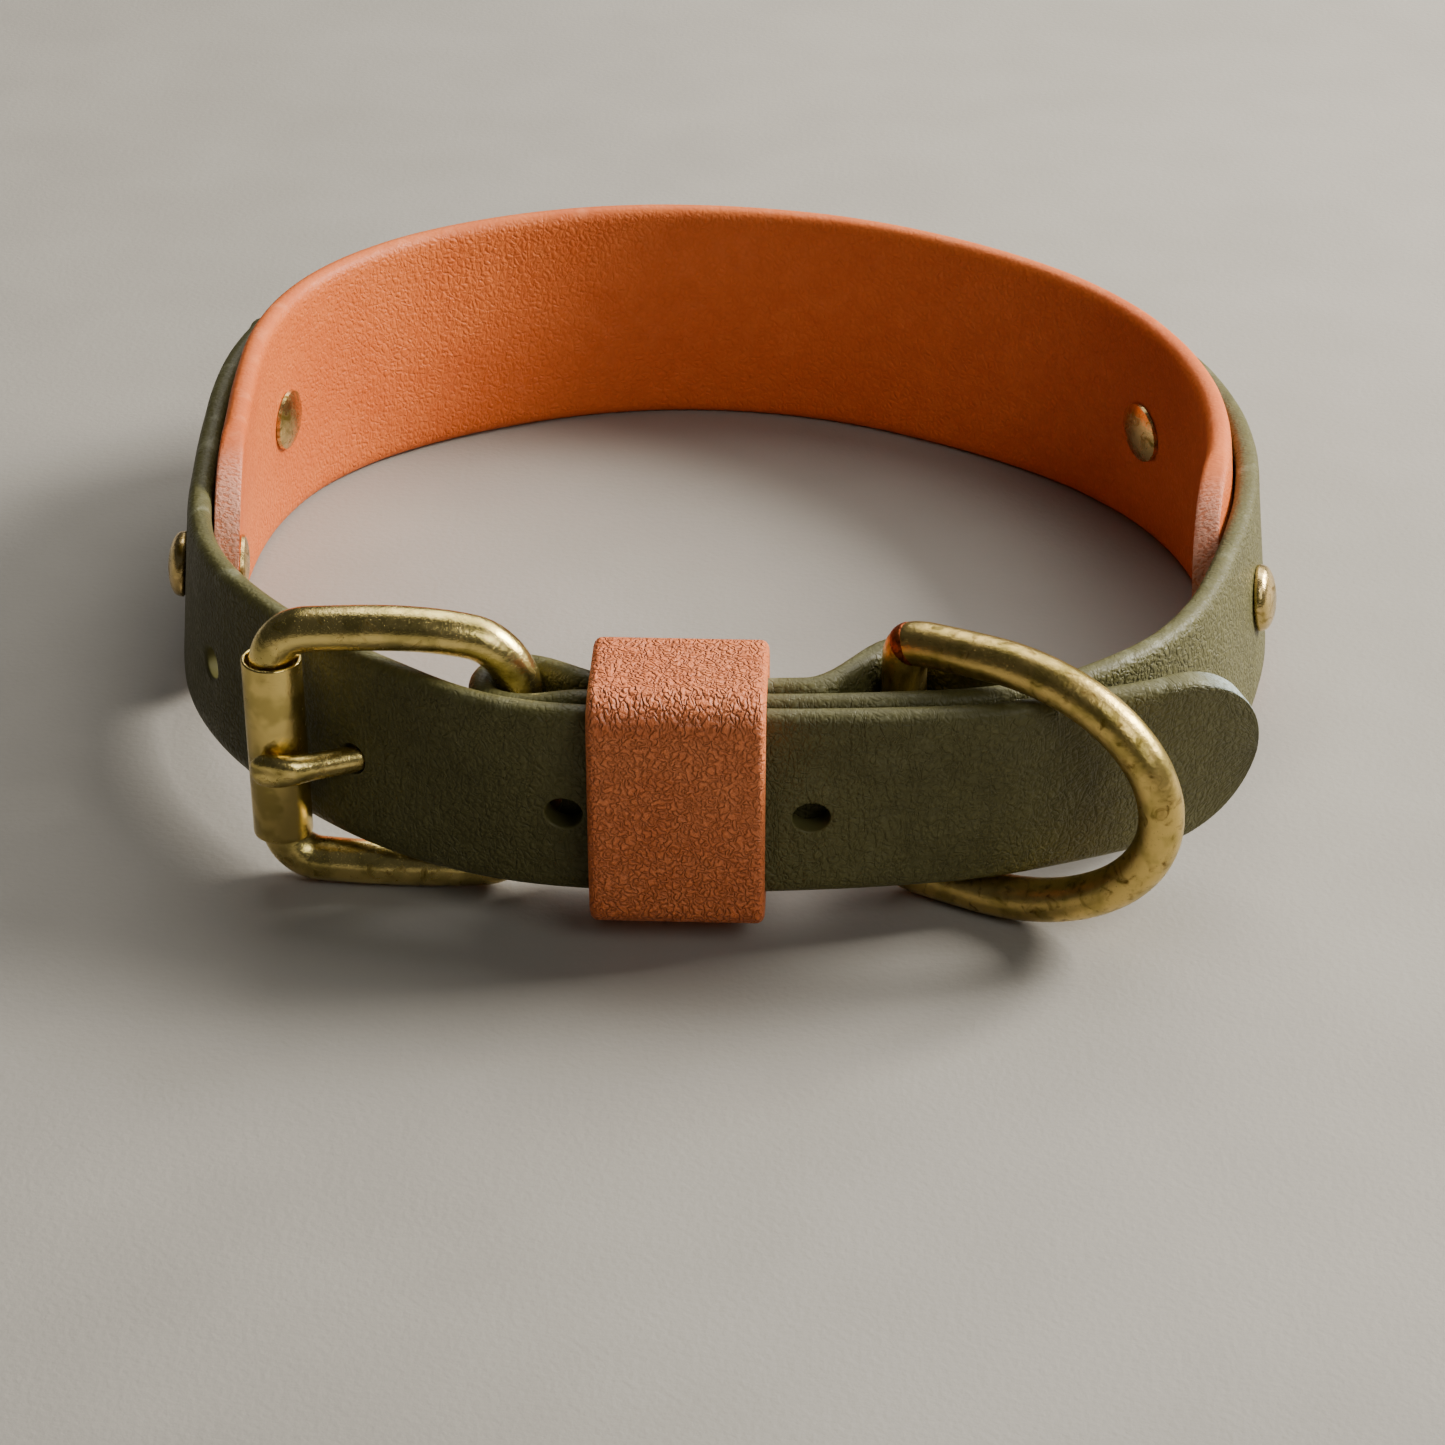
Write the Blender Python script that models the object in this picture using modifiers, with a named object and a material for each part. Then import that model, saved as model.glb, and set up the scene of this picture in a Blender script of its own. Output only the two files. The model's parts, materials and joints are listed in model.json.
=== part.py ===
"""A buckled dog collar, standing on its lower edge. Metres, +Z up.

The origin is on the ground under the middle of the ring, the buckle side faces -Y and +X is to the
right of someone who looks at the buckle. Every strap is swept along one closed line, the ring line,
which runs between the outer and the inner layer of the collar. Distances along it start at the
buckle's bar and grow anticlockwise as seen from above.
"""

import math
from collections import namedtuple

import bmesh
import bpy
import numpy as np
from mathutils import Matrix, Vector

# Straps
STRAP_WIDTH = 0.019
STRAP_THICKNESS = 0.0024
PANEL_WIDTH = 0.0254
PANEL_THICKNESS = 0.0025
EDGE_RADIUS = 0.0009
LAYER_GAP = 0.00025
FREE_STRAP_RISE = 0.0001

# Ring line, measured between the layers
RING_WIDTH = 0.1044
RING_DEPTH = 0.1090

# Strap ends
PANEL_CORNER = 0.0122
PANEL_PAST_RIVET = 0.007
STRAP_CORNER = 0.005
STRAP_PAST_RIVET = 0.008
FREE_END_LENGTH = 0.0232
FREE_END_BEND = 9.0
FREE_END_LEAN = 10.0
TIP_LENGTH = 0.009
FOLD_PAST_RIVET = 0.0045

# Rivets, by the direction from the middle of the ring, in degrees
RIGHT_FRONT_RIVET = -17.0
RIGHT_BACK_RIVET = 26.0
LEFT_BACK_RIVET = 152.6
LEFT_FRONT_RIVET = 189.6
RIVET_HEAD_RADIUS = 0.0033
RIVET_HEAD_HEIGHT = 0.0018
RIVET_BACK_HEIGHT = 0.0011
RIVET_SHANK_RADIUS = 0.0012
FOLD_RIVET_RADIUS = 0.0025
FOLD_HEAD_CLEARANCE = 0.00045
SHANK_CLEARANCE = 0.0002

# Holes of the strap
HOLE_LENGTH = 0.0034
HOLE_HEIGHT = 0.0030
HOLE_SPACING = 0.0217
HOLE_DROP = 0.0011
PRONG_HOLE_PULL = 0.0016
HOLES_LEFT_OF_PRONG = 1
HOLES_RIGHT_OF_PRONG = 2

# Buckle
WIRE = 0.0041
BUCKLE_LENGTH = 0.0225
BUCKLE_PLAY = 0.0008
BUCKLE_CORNER = 0.0034
BUCKLE_BOW = 0.0004
BUCKLE_LOWER_BULGE = 0.0003
BUCKLE_UPPER_BULGE = 0.0009
BUCKLE_BAR_DROP = 0.0021
BAR_CLEARANCE = 0.00025
ROLLER_DIAMETER = 0.0055
ROLLER_WALL = 0.00035
ROLLER_PLAY = 0.0006
ROLLER_STANDOFF = 0.0003
PRONG_WIRE = 0.0025
PRONG_RISE = 0.0008
PRONG_TIP = 0.0013
PRONG_HOLE_SHARE = 0.69
PRONG_LOOP = 272.0
PRONG_TIP_BEND = 33.0
PRONG_LOOP_CLEARANCE = 0.00015
PRONG_SLOT_PLAY = 0.0006

# Keeper
KEEPER_FROM_BAR = 0.0082
KEEPER_WIDTH = 0.0158
KEEPER_THICKNESS = 0.0022
KEEPER_PLAY = 0.0006
KEEPER_DEPTH_PLAY = 0.0004
KEEPER_CORNER = 0.0022

# D-ring
D_RING_FROM_KEEPER = 0.0130
D_RING_REACH = 0.0252
D_RING_STRAIGHT = 0.0085
D_RING_SPLAY = 0.0003
D_RING_PLAY = 0.0008
D_RING_CORNER = 0.0014
D_RING_POCKET = 0.0009
D_RING_START_ANGLE = 10.0
D_RING_ANGLE_STEP = 0.25

# Fold of the buckle strap: how far along the line its inner layer takes to close up
BUCKLE_FOLD_REACH = 0.010
FOLD_TRIM = 0.0012
FOLD_TRIM_REACH = 0.008
D_RING_FOLD_REACH = 0.0095
OUTER_TO_INNER_REACH = 0.0240

# Fineness of the faceted solids
STATION_SPACING = 0.0045
FINE_SPACING = 0.0022
LINE_SAMPLES = 1440
EDGE_SEGMENTS = 2
END_SEGMENTS = 6

# Worked out from the sizes above
BAR_RADIUS = WIRE / 2
STRAP_OFFSET = (LAYER_GAP + STRAP_THICKNESS) / 2
PANEL_OFFSET = (LAYER_GAP + PANEL_THICKNESS) / 2
FOLD_RADIUS = BAR_RADIUS + BAR_CLEARANCE + STRAP_THICKNESS / 2
LAYER_STEP = STRAP_THICKNESS + LAYER_GAP
FRONT_MIDDLE = WIRE + max(D_RING_SPLAY, BUCKLE_LOWER_BULGE) + BAR_CLEARANCE + STRAP_WIDTH / 2
BUCKLE_BULGES = BUCKLE_LOWER_BULGE + BUCKLE_UPPER_BULGE
BUCKLE_HEIGHT = STRAP_WIDTH + BUCKLE_PLAY + 2 * WIRE + BUCKLE_BULGES
D_RING_BAR_HALF = (STRAP_WIDTH + D_RING_PLAY + WIRE) / 2
D_RING_HALF = D_RING_BAR_HALF + D_RING_SPLAY
KEEPER_AT = KEEPER_FROM_BAR + KEEPER_WIDTH / 2
D_RING_AT = KEEPER_AT + KEEPER_WIDTH / 2 + D_RING_FROM_KEEPER
RING_FOLD_RIVET_AT = D_RING_AT + D_RING_FOLD_REACH + FOLD_RIVET_RADIUS
FREE_END_AT = D_RING_AT + D_RING_FOLD_REACH
OUTER_TO_INNER_END = RING_FOLD_RIVET_AT + FOLD_PAST_RIVET
OUTER_TO_INNER_START = OUTER_TO_INNER_END + OUTER_TO_INNER_REACH

# The ring line: right and back are shares of half the ring's width and depth, lean is how far the
# strap's top tips outwards in degrees, and rise goes from 0, at the height of the panel's middle,
# to 1, at the height of the straps' middle in the buckle.
RingSection = namedtuple("RingSection", "right back lean rise")
RING_SECTIONS = (
    RingSection(-0.380, -0.947, 0.0, 1.00),
    RingSection(-0.144, -0.984, 0.0, 1.00),
    RingSection(0.077, -0.989, 1.0, 1.00),
    RingSection(0.314, -0.976, 3.5, 1.00),
    RingSection(0.517, -0.941, 5.5, 1.00),
    RingSection(0.628, -0.894, 4.0, 1.00),
    RingSection(0.726, -0.822, 0.0, 0.95),
    RingSection(0.801, -0.727, -5.0, 0.80),
    RingSection(0.854, -0.615, -7.5, 0.60),
    RingSection(0.925, -0.418, -8.0, 0.30),
    RingSection(0.971, -0.257, -7.5, 0.10),
    RingSection(1.004, 0.073, -5.0, 0.0),
    RingSection(0.937, 0.376, -4.0, 0.0),
    RingSection(0.797, 0.600, -2.0, 0.0),
    RingSection(0.552, 0.806, 0.0, 0.0),
    RingSection(0.301, 0.936, 0.0, 0.0),
    RingSection(0.029, 1.002, 0.0, 0.0),
    RingSection(-0.230, 1.002, 1.5, 0.0),
    RingSection(-0.479, 0.939, 3.0, 0.0),
    RingSection(-0.713, 0.815, 2.5, 0.0),
    RingSection(-0.874, 0.651, 0.0, 0.0),
    RingSection(-0.969, 0.422, -3.0, 0.0),
    RingSection(-0.994, 0.147, -6.0, 0.0),
    RingSection(-0.985, -0.128, -6.0, 0.10),
    RingSection(-0.950, -0.360, -5.0, 0.40),
    RingSection(-0.860, -0.556, -5.0, 0.80),
    RingSection(-0.722, -0.724, -5.5, 1.00),
    RingSection(-0.550, -0.862, -5.0, 1.00),
)

# One cross-section of a strap: the middle of its thickness in plan, its height, the outward
# direction in plan, the lean in radians, and its width as a share of the strap's width.
Station = namedtuple("Station", "x y z out_x out_y lean share")
Place = namedtuple("Place", "point along out lean rise")


def clear_scene():
    """Removes every object of the scene that the file opens with."""
    for obj in list(bpy.data.objects):
        bpy.data.objects.remove(obj, do_unlink=True)


def new_collection(name, hidden=False):
    """A collection of the scene, left out of the render when it holds cutters."""
    collection = bpy.data.collections.new(name)
    bpy.context.scene.collection.children.link(collection)
    collection.hide_render = hidden
    return collection


def new_material(name, colour, roughness, metallic=0.0):
    """A plain Principled material."""
    material = bpy.data.materials.new(name)
    material.use_nodes = True
    shader = material.node_tree.nodes["Principled BSDF"]
    shader.inputs["Base Color"].default_value = (*colour, 1.0)
    shader.inputs["Roughness"].default_value = roughness
    shader.inputs["Metallic"].default_value = metallic
    return material


def add_object(name, data, collection, material):
    """An object from a mesh or a curve, in its collection and with its material."""
    obj = bpy.data.objects.new(name, data)
    collection.objects.link(obj)
    data.materials.append(material)
    return obj


def add_cutter(name, mesh, matrix, collection):
    """A helper object that cuts another one and is never drawn."""
    cutter = bpy.data.objects.new(name, mesh)
    cutter.matrix_world = matrix
    cutter.hide_render = True
    cutter.display_type = "WIRE"
    collection.objects.link(cutter)
    return cutter


def cut(obj, cutter):
    """Takes the cutter's shape out of the object."""
    modifier = obj.modifiers.new(cutter.name, "BOOLEAN")
    modifier.operation = "DIFFERENCE"
    modifier.solver = "EXACT"
    modifier.object = cutter


def mix(first, second, share):
    """The value that lies a share of the way from the first to the second."""
    return first + (second - first) * share


def smooth_closed(points, samples):
    """Samples of the smooth closed curve (a periodic cubic spline) through rows of values."""
    steps = np.linalg.norm(np.roll(points, -1, axis=0)[:, :2] - points[:, :2], axis=1)
    count = len(points)
    system = np.zeros((count, count))
    right = np.zeros_like(points)
    for i in range(count):
        before, after = steps[i - 1], steps[i]
        system[i, i - 1] = 1 / before
        system[i, i] = 2 / before + 2 / after
        system[i, (i + 1) % count] = 1 / after
        right[i] = 3 * (points[i] - points[i - 1]) / before**2
        right[i] += 3 * (points[(i + 1) % count] - points[i]) / after**2
    slopes = np.linalg.solve(system, right)
    starts = np.concatenate([[0.0], np.cumsum(steps)])
    rows = []
    for value in np.linspace(0.0, starts[-1], samples, endpoint=False):
        i = int(np.searchsorted(starts, value, side="right")) - 1
        t = (value - starts[i]) / steps[i]
        j = (i + 1) % count
        rows.append(
            (2 * t**3 - 3 * t**2 + 1) * points[i]
            + (t**3 - 2 * t**2 + t) * steps[i] * slopes[i]
            + (3 * t**2 - 2 * t**3) * points[j]
            + (t**3 - t**2) * steps[i] * slopes[j]
        )
    return np.array(rows)


class RingLine:
    """The closed line between the collar's layers, read by distance or by direction."""

    def __init__(self):
        half_sizes = np.array([RING_WIDTH / 2, RING_DEPTH / 2, 1.0, 1.0])
        rows = np.array([tuple(row) for row in RING_SECTIONS]) * half_sizes
        self.rows = smooth_closed(rows, LINE_SAMPLES)
        gaps = np.linalg.norm(np.roll(self.rows, -1, axis=0)[:, :2] - self.rows[:, :2], axis=1)
        self.length = float(gaps.sum())
        self.starts = np.concatenate([[0.0], np.cumsum(gaps)[:-1]])

    def value(self, distance):
        """The row of values at a distance along the line."""
        around = distance % self.length
        return np.array(
            [np.interp(around, self.starts, self.rows[:, k], period=self.length) for k in range(4)]
        )

    def place(self, distance):
        """Point, direction along, direction out, lean and rise at a distance."""
        row = self.value(distance)
        step = self.length / LINE_SAMPLES
        along = (self.value(distance + step) - self.value(distance - step))[:2]
        along = along / np.linalg.norm(along)
        out = np.array([along[1], -along[0]])
        return Place(row[:2], along, out, math.radians(row[2]), float(np.clip(row[3], 0.0, 1.0)))

    def distance_at(self, degrees):
        """The distance at which the line lies in this direction from the middle of the ring."""
        angles = np.degrees(np.arctan2(self.rows[:, 1], self.rows[:, 0]))
        away = np.abs((angles - degrees + 180.0) % 360.0 - 180.0)
        return float(self.starts[int(np.argmin(away))])


def leaned(place):
    """The outward direction of a leaning strap, square to its faces."""
    lean_cos, lean_sin = math.cos(place.lean), math.sin(place.lean)
    return np.array([place.out[0] * lean_cos, place.out[1] * lean_cos, -lean_sin])


def strap_height(place, extra=0.0):
    """Height of the middle of an olive strap."""
    return mix(PANEL_WIDTH / 2, FRONT_MIDDLE, place.rise) + extra


def hole_height(place, extra=0.0):
    """Height of the holes, which lie a little below the middle of the strap."""
    return strap_height(place, extra) - HOLE_DROP


def panel_height(place):
    """Height of the middle of the panel, which stands on the ground however it leans."""
    lean = abs(place.lean)
    upright = (PANEL_WIDTH / 2 - EDGE_RADIUS) * math.cos(lean)
    rounding = (PANEL_THICKNESS / 2 - EDGE_RADIUS) * math.sin(lean) + EDGE_RADIUS
    return upright + rounding - PANEL_OFFSET * math.sin(place.lean)


def layer_point(place, offset, height):
    """A point at an offset outwards from the ring line, square to the leaning strap."""
    return np.array([place.point[0], place.point[1], height]) + leaned(place) * offset


def layer_station(place, offset, height, share=1.0):
    """The cross-section of a layer at an offset outwards from the ring line."""
    x, y, z = layer_point(place, offset, height)
    return Station(x, y, z, place.out[0], place.out[1], place.lean, share)


def rounded_share(from_end, corner, width):
    """Share of the full width at a distance from a strap's end with rounded corners."""
    if from_end >= corner:
        return 1.0
    inset = corner - math.sqrt(max(0.0, corner**2 - (corner - from_end) ** 2))
    return 1.0 - 2 * inset / width


def end_distances(corner):
    """Distances from a rounded end at which its outline is sampled."""
    return [corner * (1 - math.cos(math.pi / 2 * k / END_SEGMENTS)) for k in range(END_SEGMENTS)]


def spread(first, last, spacing):
    """Even distances from first to last, both included."""
    count = max(2, int(round(abs(last - first) / spacing)) + 1)
    return list(np.linspace(first, last, count))


def strap_profile(width, thickness):
    """Outline of a strap's cross-section, across its thickness and up its width."""
    radius = min(EDGE_RADIUS, 0.45 * thickness, 0.45 * width)
    points = []
    for side_x, side_z, start in ((1, 1, 0), (-1, 1, 90), (-1, -1, 180), (1, -1, 270)):
        for k in range(EDGE_SEGMENTS + 1):
            angle = math.radians(start + 90 * k / EDGE_SEGMENTS)
            across = side_x * (thickness / 2 - radius) + radius * math.cos(angle)
            up = side_z * (width / 2 - radius) + radius * math.sin(angle)
            points.append((across, up))
    return points


def station_ring(station, width, thickness):
    """The cross-section at a station as points in space."""
    lean_cos, lean_sin = math.cos(station.lean), math.sin(station.lean)
    across = np.array([station.out_x * lean_cos, station.out_y * lean_cos, -lean_sin])
    up = np.array([station.out_x * lean_sin, station.out_y * lean_sin, lean_cos])
    middle = np.array([station.x, station.y, station.z])
    profile = strap_profile(width * station.share, thickness)
    return [middle + across * a + up * b for a, b in profile]


def loft(name, rings, closed=False):
    """A closed mesh through rings of as many points each, capped unless the rings close up."""
    mesh = bmesh.new()
    loops = [[mesh.verts.new(tuple(point)) for point in ring] for ring in rings]
    pairs = list(zip(loops, loops[1:]))
    if closed:
        pairs.append((loops[-1], loops[0]))
    for first, second in pairs:
        for k in range(len(first)):
            following = (k + 1) % len(first)
            mesh.faces.new((first[k], first[following], second[following], second[k]))
    if not closed:
        mesh.faces.new(loops[0])
        mesh.faces.new(loops[-1])
    bmesh.ops.recalc_face_normals(mesh, faces=mesh.faces)
    if mesh.calc_volume(signed=True) < 0:
        bmesh.ops.reverse_faces(mesh, faces=mesh.faces)
    data = bpy.data.meshes.new(name)
    mesh.to_mesh(data)
    mesh.free()
    data.shade_smooth()
    data.set_sharp_from_angle(angle=math.radians(40.0))
    return data


def sweep_strap(name, stations, width, thickness):
    """The mesh of a strap through its stations."""
    return loft(name, [station_ring(station, width, thickness) for station in stations])


def facing_matrix(point, facing, up=(0.0, 0.0, 1.0)):
    """A placement at a point whose local +Z faces one way and whose local +Y is near up."""
    z_axis = Vector(tuple(facing)).normalized()
    x_axis = Vector(up).cross(z_axis).normalized()
    y_axis = z_axis.cross(x_axis)
    matrix = Matrix((x_axis, y_axis, z_axis)).transposed().to_4x4()
    matrix.translation = Vector(tuple(point))
    return matrix


def cylinder_mesh(name, radius, depth, sides=16):
    """A capped cylinder along local Z, centred at its origin."""
    mesh = bmesh.new()
    bmesh.ops.create_cone(
        mesh, cap_ends=True, segments=sides, radius1=radius, radius2=radius, depth=depth
    )
    data = bpy.data.meshes.new(name)
    mesh.to_mesh(data)
    mesh.free()
    return data


def box_mesh(name, size):
    """A box centred at its origin."""
    mesh = bmesh.new()
    bmesh.ops.create_cube(mesh, size=1.0)
    bmesh.ops.scale(mesh, vec=Vector(size), verts=mesh.verts)
    data = bpy.data.meshes.new(name)
    mesh.to_mesh(data)
    mesh.free()
    return data


def wire_curve(name, points, wire, closed, radii=None):
    """A round wire along points: a poly curve with a bevel and filled caps."""
    curve = bpy.data.curves.new(name, "CURVE")
    curve.dimensions = "3D"
    curve.bevel_depth = wire / 2
    curve.bevel_resolution = 3
    curve.use_fill_caps = not closed
    spline = curve.splines.new("POLY")
    spline.points.add(len(points) - 1)
    for k, point in enumerate(points):
        spline.points[k].co = (*point, 1.0)
        spline.points[k].radius = radii[k] if radii else 1.0
    spline.use_cyclic_u = closed
    spline.use_smooth = True
    return curve


def screw(obj, steps, flip=False):
    """Turns the object's profile into a full round body about its local Z axis."""
    modifier = obj.modifiers.new("Turn", "SCREW")
    modifier.axis = "Z"
    modifier.angle = 2 * math.pi
    modifier.steps = steps
    modifier.render_steps = steps
    modifier.use_merge_vertices = True
    modifier.merge_threshold = 0.00001
    modifier.use_normal_calculate = True
    modifier.use_normal_flip = flip
    modifier.use_smooth_shade = True


def profile_mesh(name, points, closed=False):
    """A chain of edges in the XZ plane, to be turned."""
    edges = [(k, k + 1) for k in range(len(points) - 1)]
    if closed:
        edges.append((len(points) - 1, 0))
    mesh = bpy.data.meshes.new(name)
    mesh.from_pydata([(x, 0.0, z) for x, z in points], edges, [])
    return mesh


def arc(middle, radius, first, last, count):
    """Points on an arc in a plane, by degrees."""
    angles = [math.radians(mix(first, last, k / (count - 1))) for k in range(count)]
    return [(middle[0] + radius * math.cos(a), middle[1] + radius * math.sin(a)) for a in angles]


class Collar:
    """Everything that the pieces share: the line, the collections, the materials and the places."""

    def __init__(self):
        self.line = RingLine()
        self.parts = new_collection("dog_collar")
        self.cutters = new_collection("cutters", hidden=True)
        self.olive = new_material("olive_strap", (0.070, 0.068, 0.038), 0.5)
        self.terracotta = new_material("terracotta_strap", (0.42, 0.15, 0.065), 0.5)
        self.brass = new_material("antique_brass", (0.50, 0.40, 0.14), 0.35, 1.0)
        self.right_front = self.line.distance_at(RIGHT_FRONT_RIVET)
        self.right_back = self.line.distance_at(RIGHT_BACK_RIVET)
        self.left_back = self.line.distance_at(LEFT_BACK_RIVET)
        self.left_front = self.line.distance_at(LEFT_FRONT_RIVET)
        self.bar = self.bar_axis()
        self.roller = self.roller_axis()
        self.hole_row = self.line.length - BUCKLE_LENGTH * PRONG_HOLE_SHARE
        self.prong_hole = self.hole_row + PRONG_HOLE_PULL

    def bar_axis(self):
        """Plan position of the buckle's bar, inside the fold of the buckle strap."""
        place = self.line.place(0.0)
        return place.point - place.out * (STRAP_OFFSET + FOLD_RADIUS)

    def ring_bar_axis(self):
        """Plan position of the D-ring's bar, between the layers of the fold."""
        place = self.line.place(D_RING_AT)
        return place.point - place.out * (STRAP_OFFSET + FOLD_RADIUS + D_RING_POCKET)

    def roller_axis(self):
        """Plan position of the roller: outside the strap, the buckle's length from the bar."""
        upright = STRAP_OFFSET + STRAP_THICKNESS / 2 + ROLLER_STANDOFF + ROLLER_DIAMETER / 2
        near, far = 0.0, 2 * BUCKLE_LENGTH
        for _ in range(40):
            middle = (near + far) / 2
            place = self.line.place(-middle)
            away = upright + STRAP_WIDTH / 2 * abs(math.sin(place.lean))
            axis = place.point + place.out * away
            if np.linalg.norm(axis - self.bar) < BUCKLE_LENGTH:
                near = middle
            else:
                far = middle
        return axis

    def hole_distances(self):
        """Distances of the adjustment holes along the ring line, the prong's own one left out."""
        steps = [k for k in range(-HOLES_LEFT_OF_PRONG, HOLES_RIGHT_OF_PRONG + 1) if k]
        return [self.hole_row + k * HOLE_SPACING for k in steps]

    def rivet_at(self, distance):
        """Place and height of a panel rivet."""
        place = self.line.place(distance)
        return place, strap_height(place)


def build_panel(collar):
    """The wide rear strap, inside the two olive straps at its ends."""
    first = collar.right_front - PANEL_PAST_RIVET
    last = collar.left_front + PANEL_PAST_RIVET
    ends = end_distances(PANEL_CORNER)
    inner = spread(first + PANEL_CORNER, last - PANEL_CORNER, STATION_SPACING)
    distances = [first + d for d in ends] + inner + [last - d for d in reversed(ends)]
    stations = []
    for distance in distances:
        place = collar.line.place(distance)
        from_end = min(distance - first, last - distance)
        share = rounded_share(from_end, PANEL_CORNER, PANEL_WIDTH)
        stations.append(layer_station(place, -PANEL_OFFSET, panel_height(place), share))
    mesh = sweep_strap("panel", stations, PANEL_WIDTH, PANEL_THICKNESS)
    panel = add_object("panel", mesh, collar.parts, collar.terracotta)
    for distance in (collar.right_front, collar.right_back, collar.left_back, collar.left_front):
        drill_for_rivet(collar, panel, distance)
    return panel


def drill_for_rivet(collar, strap, distance):
    """Cuts a panel rivet's shank hole through a strap."""
    place, height = collar.rivet_at(distance)
    depth = 4 * (STRAP_THICKNESS + PANEL_THICKNESS)
    mesh = cylinder_mesh("shank_cutter", RIVET_SHANK_RADIUS + SHANK_CLEARANCE, depth, 12)
    matrix = facing_matrix(layer_point(place, 0.0, height), leaned(place))
    cut(strap, add_cutter(f"{strap.name}_shank_cutter", mesh, matrix, collar.cutters))


def free_end_places(collar):
    """Places along the strap's free end, which leaves the ring line and bends less than it."""
    start = collar.line.place(FREE_END_AT)
    along = math.atan2(start.along[1], start.along[0])
    point = start.point.copy()
    from_tip = sorted(end_distances(TIP_LENGTH), reverse=True)[:-2] + [TIP_LENGTH / 50]
    stops = spread(0.0, FREE_END_LENGTH - TIP_LENGTH, FINE_SPACING)
    stops += [FREE_END_LENGTH - d for d in from_tip]
    places = []
    walked = 0.0
    for stop in stops:
        share = (walked + stop) / 2 / FREE_END_LENGTH
        heading = along + math.radians(FREE_END_BEND) * share
        point = point + (stop - walked) * np.array([math.cos(heading), math.sin(heading)])
        walked = stop
        heading = along + math.radians(FREE_END_BEND) * stop / FREE_END_LENGTH
        direction = np.array([math.cos(heading), math.sin(heading)])
        out = np.array([direction[1], -direction[0]])
        lean = mix(start.lean, math.radians(FREE_END_LEAN), stop / FREE_END_LENGTH)
        places.append((Place(point, direction, out, lean, start.rise), FREE_END_LENGTH - stop))
    return places


def free_strap_rise(distance):
    """How far the free strap rides above the buckle strap, growing past the buckle."""
    return FREE_STRAP_RISE * min(1.0, max(0.0, distance / KEEPER_AT))


def hole_strap_stations(collar):
    """Stations of the strap with the holes, from its riveted end to its free tip."""
    line = collar.line
    first = collar.left_back - STRAP_PAST_RIVET - line.length
    last = FREE_END_AT
    distances = [first + d for d in end_distances(STRAP_CORNER)]
    distances += spread(first + STRAP_CORNER, last, STATION_SPACING)[:-1]
    stations = []
    for distance in distances:
        place = line.place(distance)
        share = rounded_share(distance - first, STRAP_CORNER, STRAP_WIDTH)
        height = strap_height(place, free_strap_rise(distance))
        stations.append(layer_station(place, STRAP_OFFSET, height, share))
    for place, from_tip in free_end_places(collar):
        along_tip = min(1.0, from_tip / TIP_LENGTH)
        share = math.sqrt(1.0 - (1.0 - along_tip) ** 2)
        height = strap_height(place, FREE_STRAP_RISE)
        stations.append(layer_station(place, STRAP_OFFSET, height, share))
    return stations


def build_hole_strap(collar):
    """The olive strap with the holes, outside the panel's left end and through the buckle."""
    mesh = sweep_strap("hole_strap", hole_strap_stations(collar), STRAP_WIDTH, STRAP_THICKNESS)
    strap = add_object("hole_strap", mesh, collar.parts, collar.olive)
    for distance in (collar.left_back, collar.left_front):
        drill_for_rivet(collar, strap, distance)
    for distance in collar.hole_distances():
        place = collar.line.place(distance)
        past_bar = distance - collar.line.length
        height = hole_height(place, free_strap_rise(past_bar))
        mesh = cylinder_mesh("hole_cutter", HOLE_HEIGHT / 2, 4 * STRAP_THICKNESS)
        mesh.transform(Matrix.Diagonal((HOLE_LENGTH / HOLE_HEIGHT, 1.0, 1.0, 1.0)))
        matrix = facing_matrix(layer_point(place, STRAP_OFFSET, height), leaned(place))
        cut(strap, add_cutter("hole_cutter", mesh, matrix, collar.cutters))
    centre, direction = prong_through_hole(collar)
    clearance = PRONG_WIRE / 2 + LAYER_GAP
    mesh = cylinder_mesh("prong_hole_cutter", clearance, 4 * STRAP_THICKNESS)
    matrix = facing_matrix(centre, direction)
    cut(strap, add_cutter("prong_hole_cutter", mesh, matrix, collar.cutters))
    return strap


def fold_step(distance):
    """Distance from the buckle strap's front layer back to its inner layer."""
    open_step = 2 * FOLD_RADIUS
    at_buckle = min(1.0, abs(distance) / BUCKLE_FOLD_REACH)
    at_ring = min(1.0, abs(distance - D_RING_AT) / D_RING_FOLD_REACH)
    buckle_bump = (open_step - LAYER_STEP) * math.cos(math.pi / 2 * at_buckle) ** 2
    ring_bump = open_step + 2 * D_RING_POCKET - LAYER_STEP
    ring_bump *= math.cos(math.pi / 2 * at_ring) ** 2
    return LAYER_STEP + max(buckle_bump, ring_bump)


def fold_trim(distance):
    """How much lower the strap's top edge lies in the fold at the buckle's bar."""
    near = min(1.0, distance / FOLD_TRIM_REACH)
    return FOLD_TRIM * math.cos(math.pi / 2 * near) ** 2


def with_headings(points, leans, shares, side):
    """Stations through points, each facing square to the way that the points run."""
    plan = np.array(points)[:, :2]
    runs = np.gradient(plan, axis=0)
    stations = []
    for point, run, lean, share in zip(points, runs, leans, shares):
        run = run / np.linalg.norm(run)
        out_x, out_y = side * run[1], -side * run[0]
        stations.append(Station(point[0], point[1], point[2], out_x, out_y, lean, share))
    return stations


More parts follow.
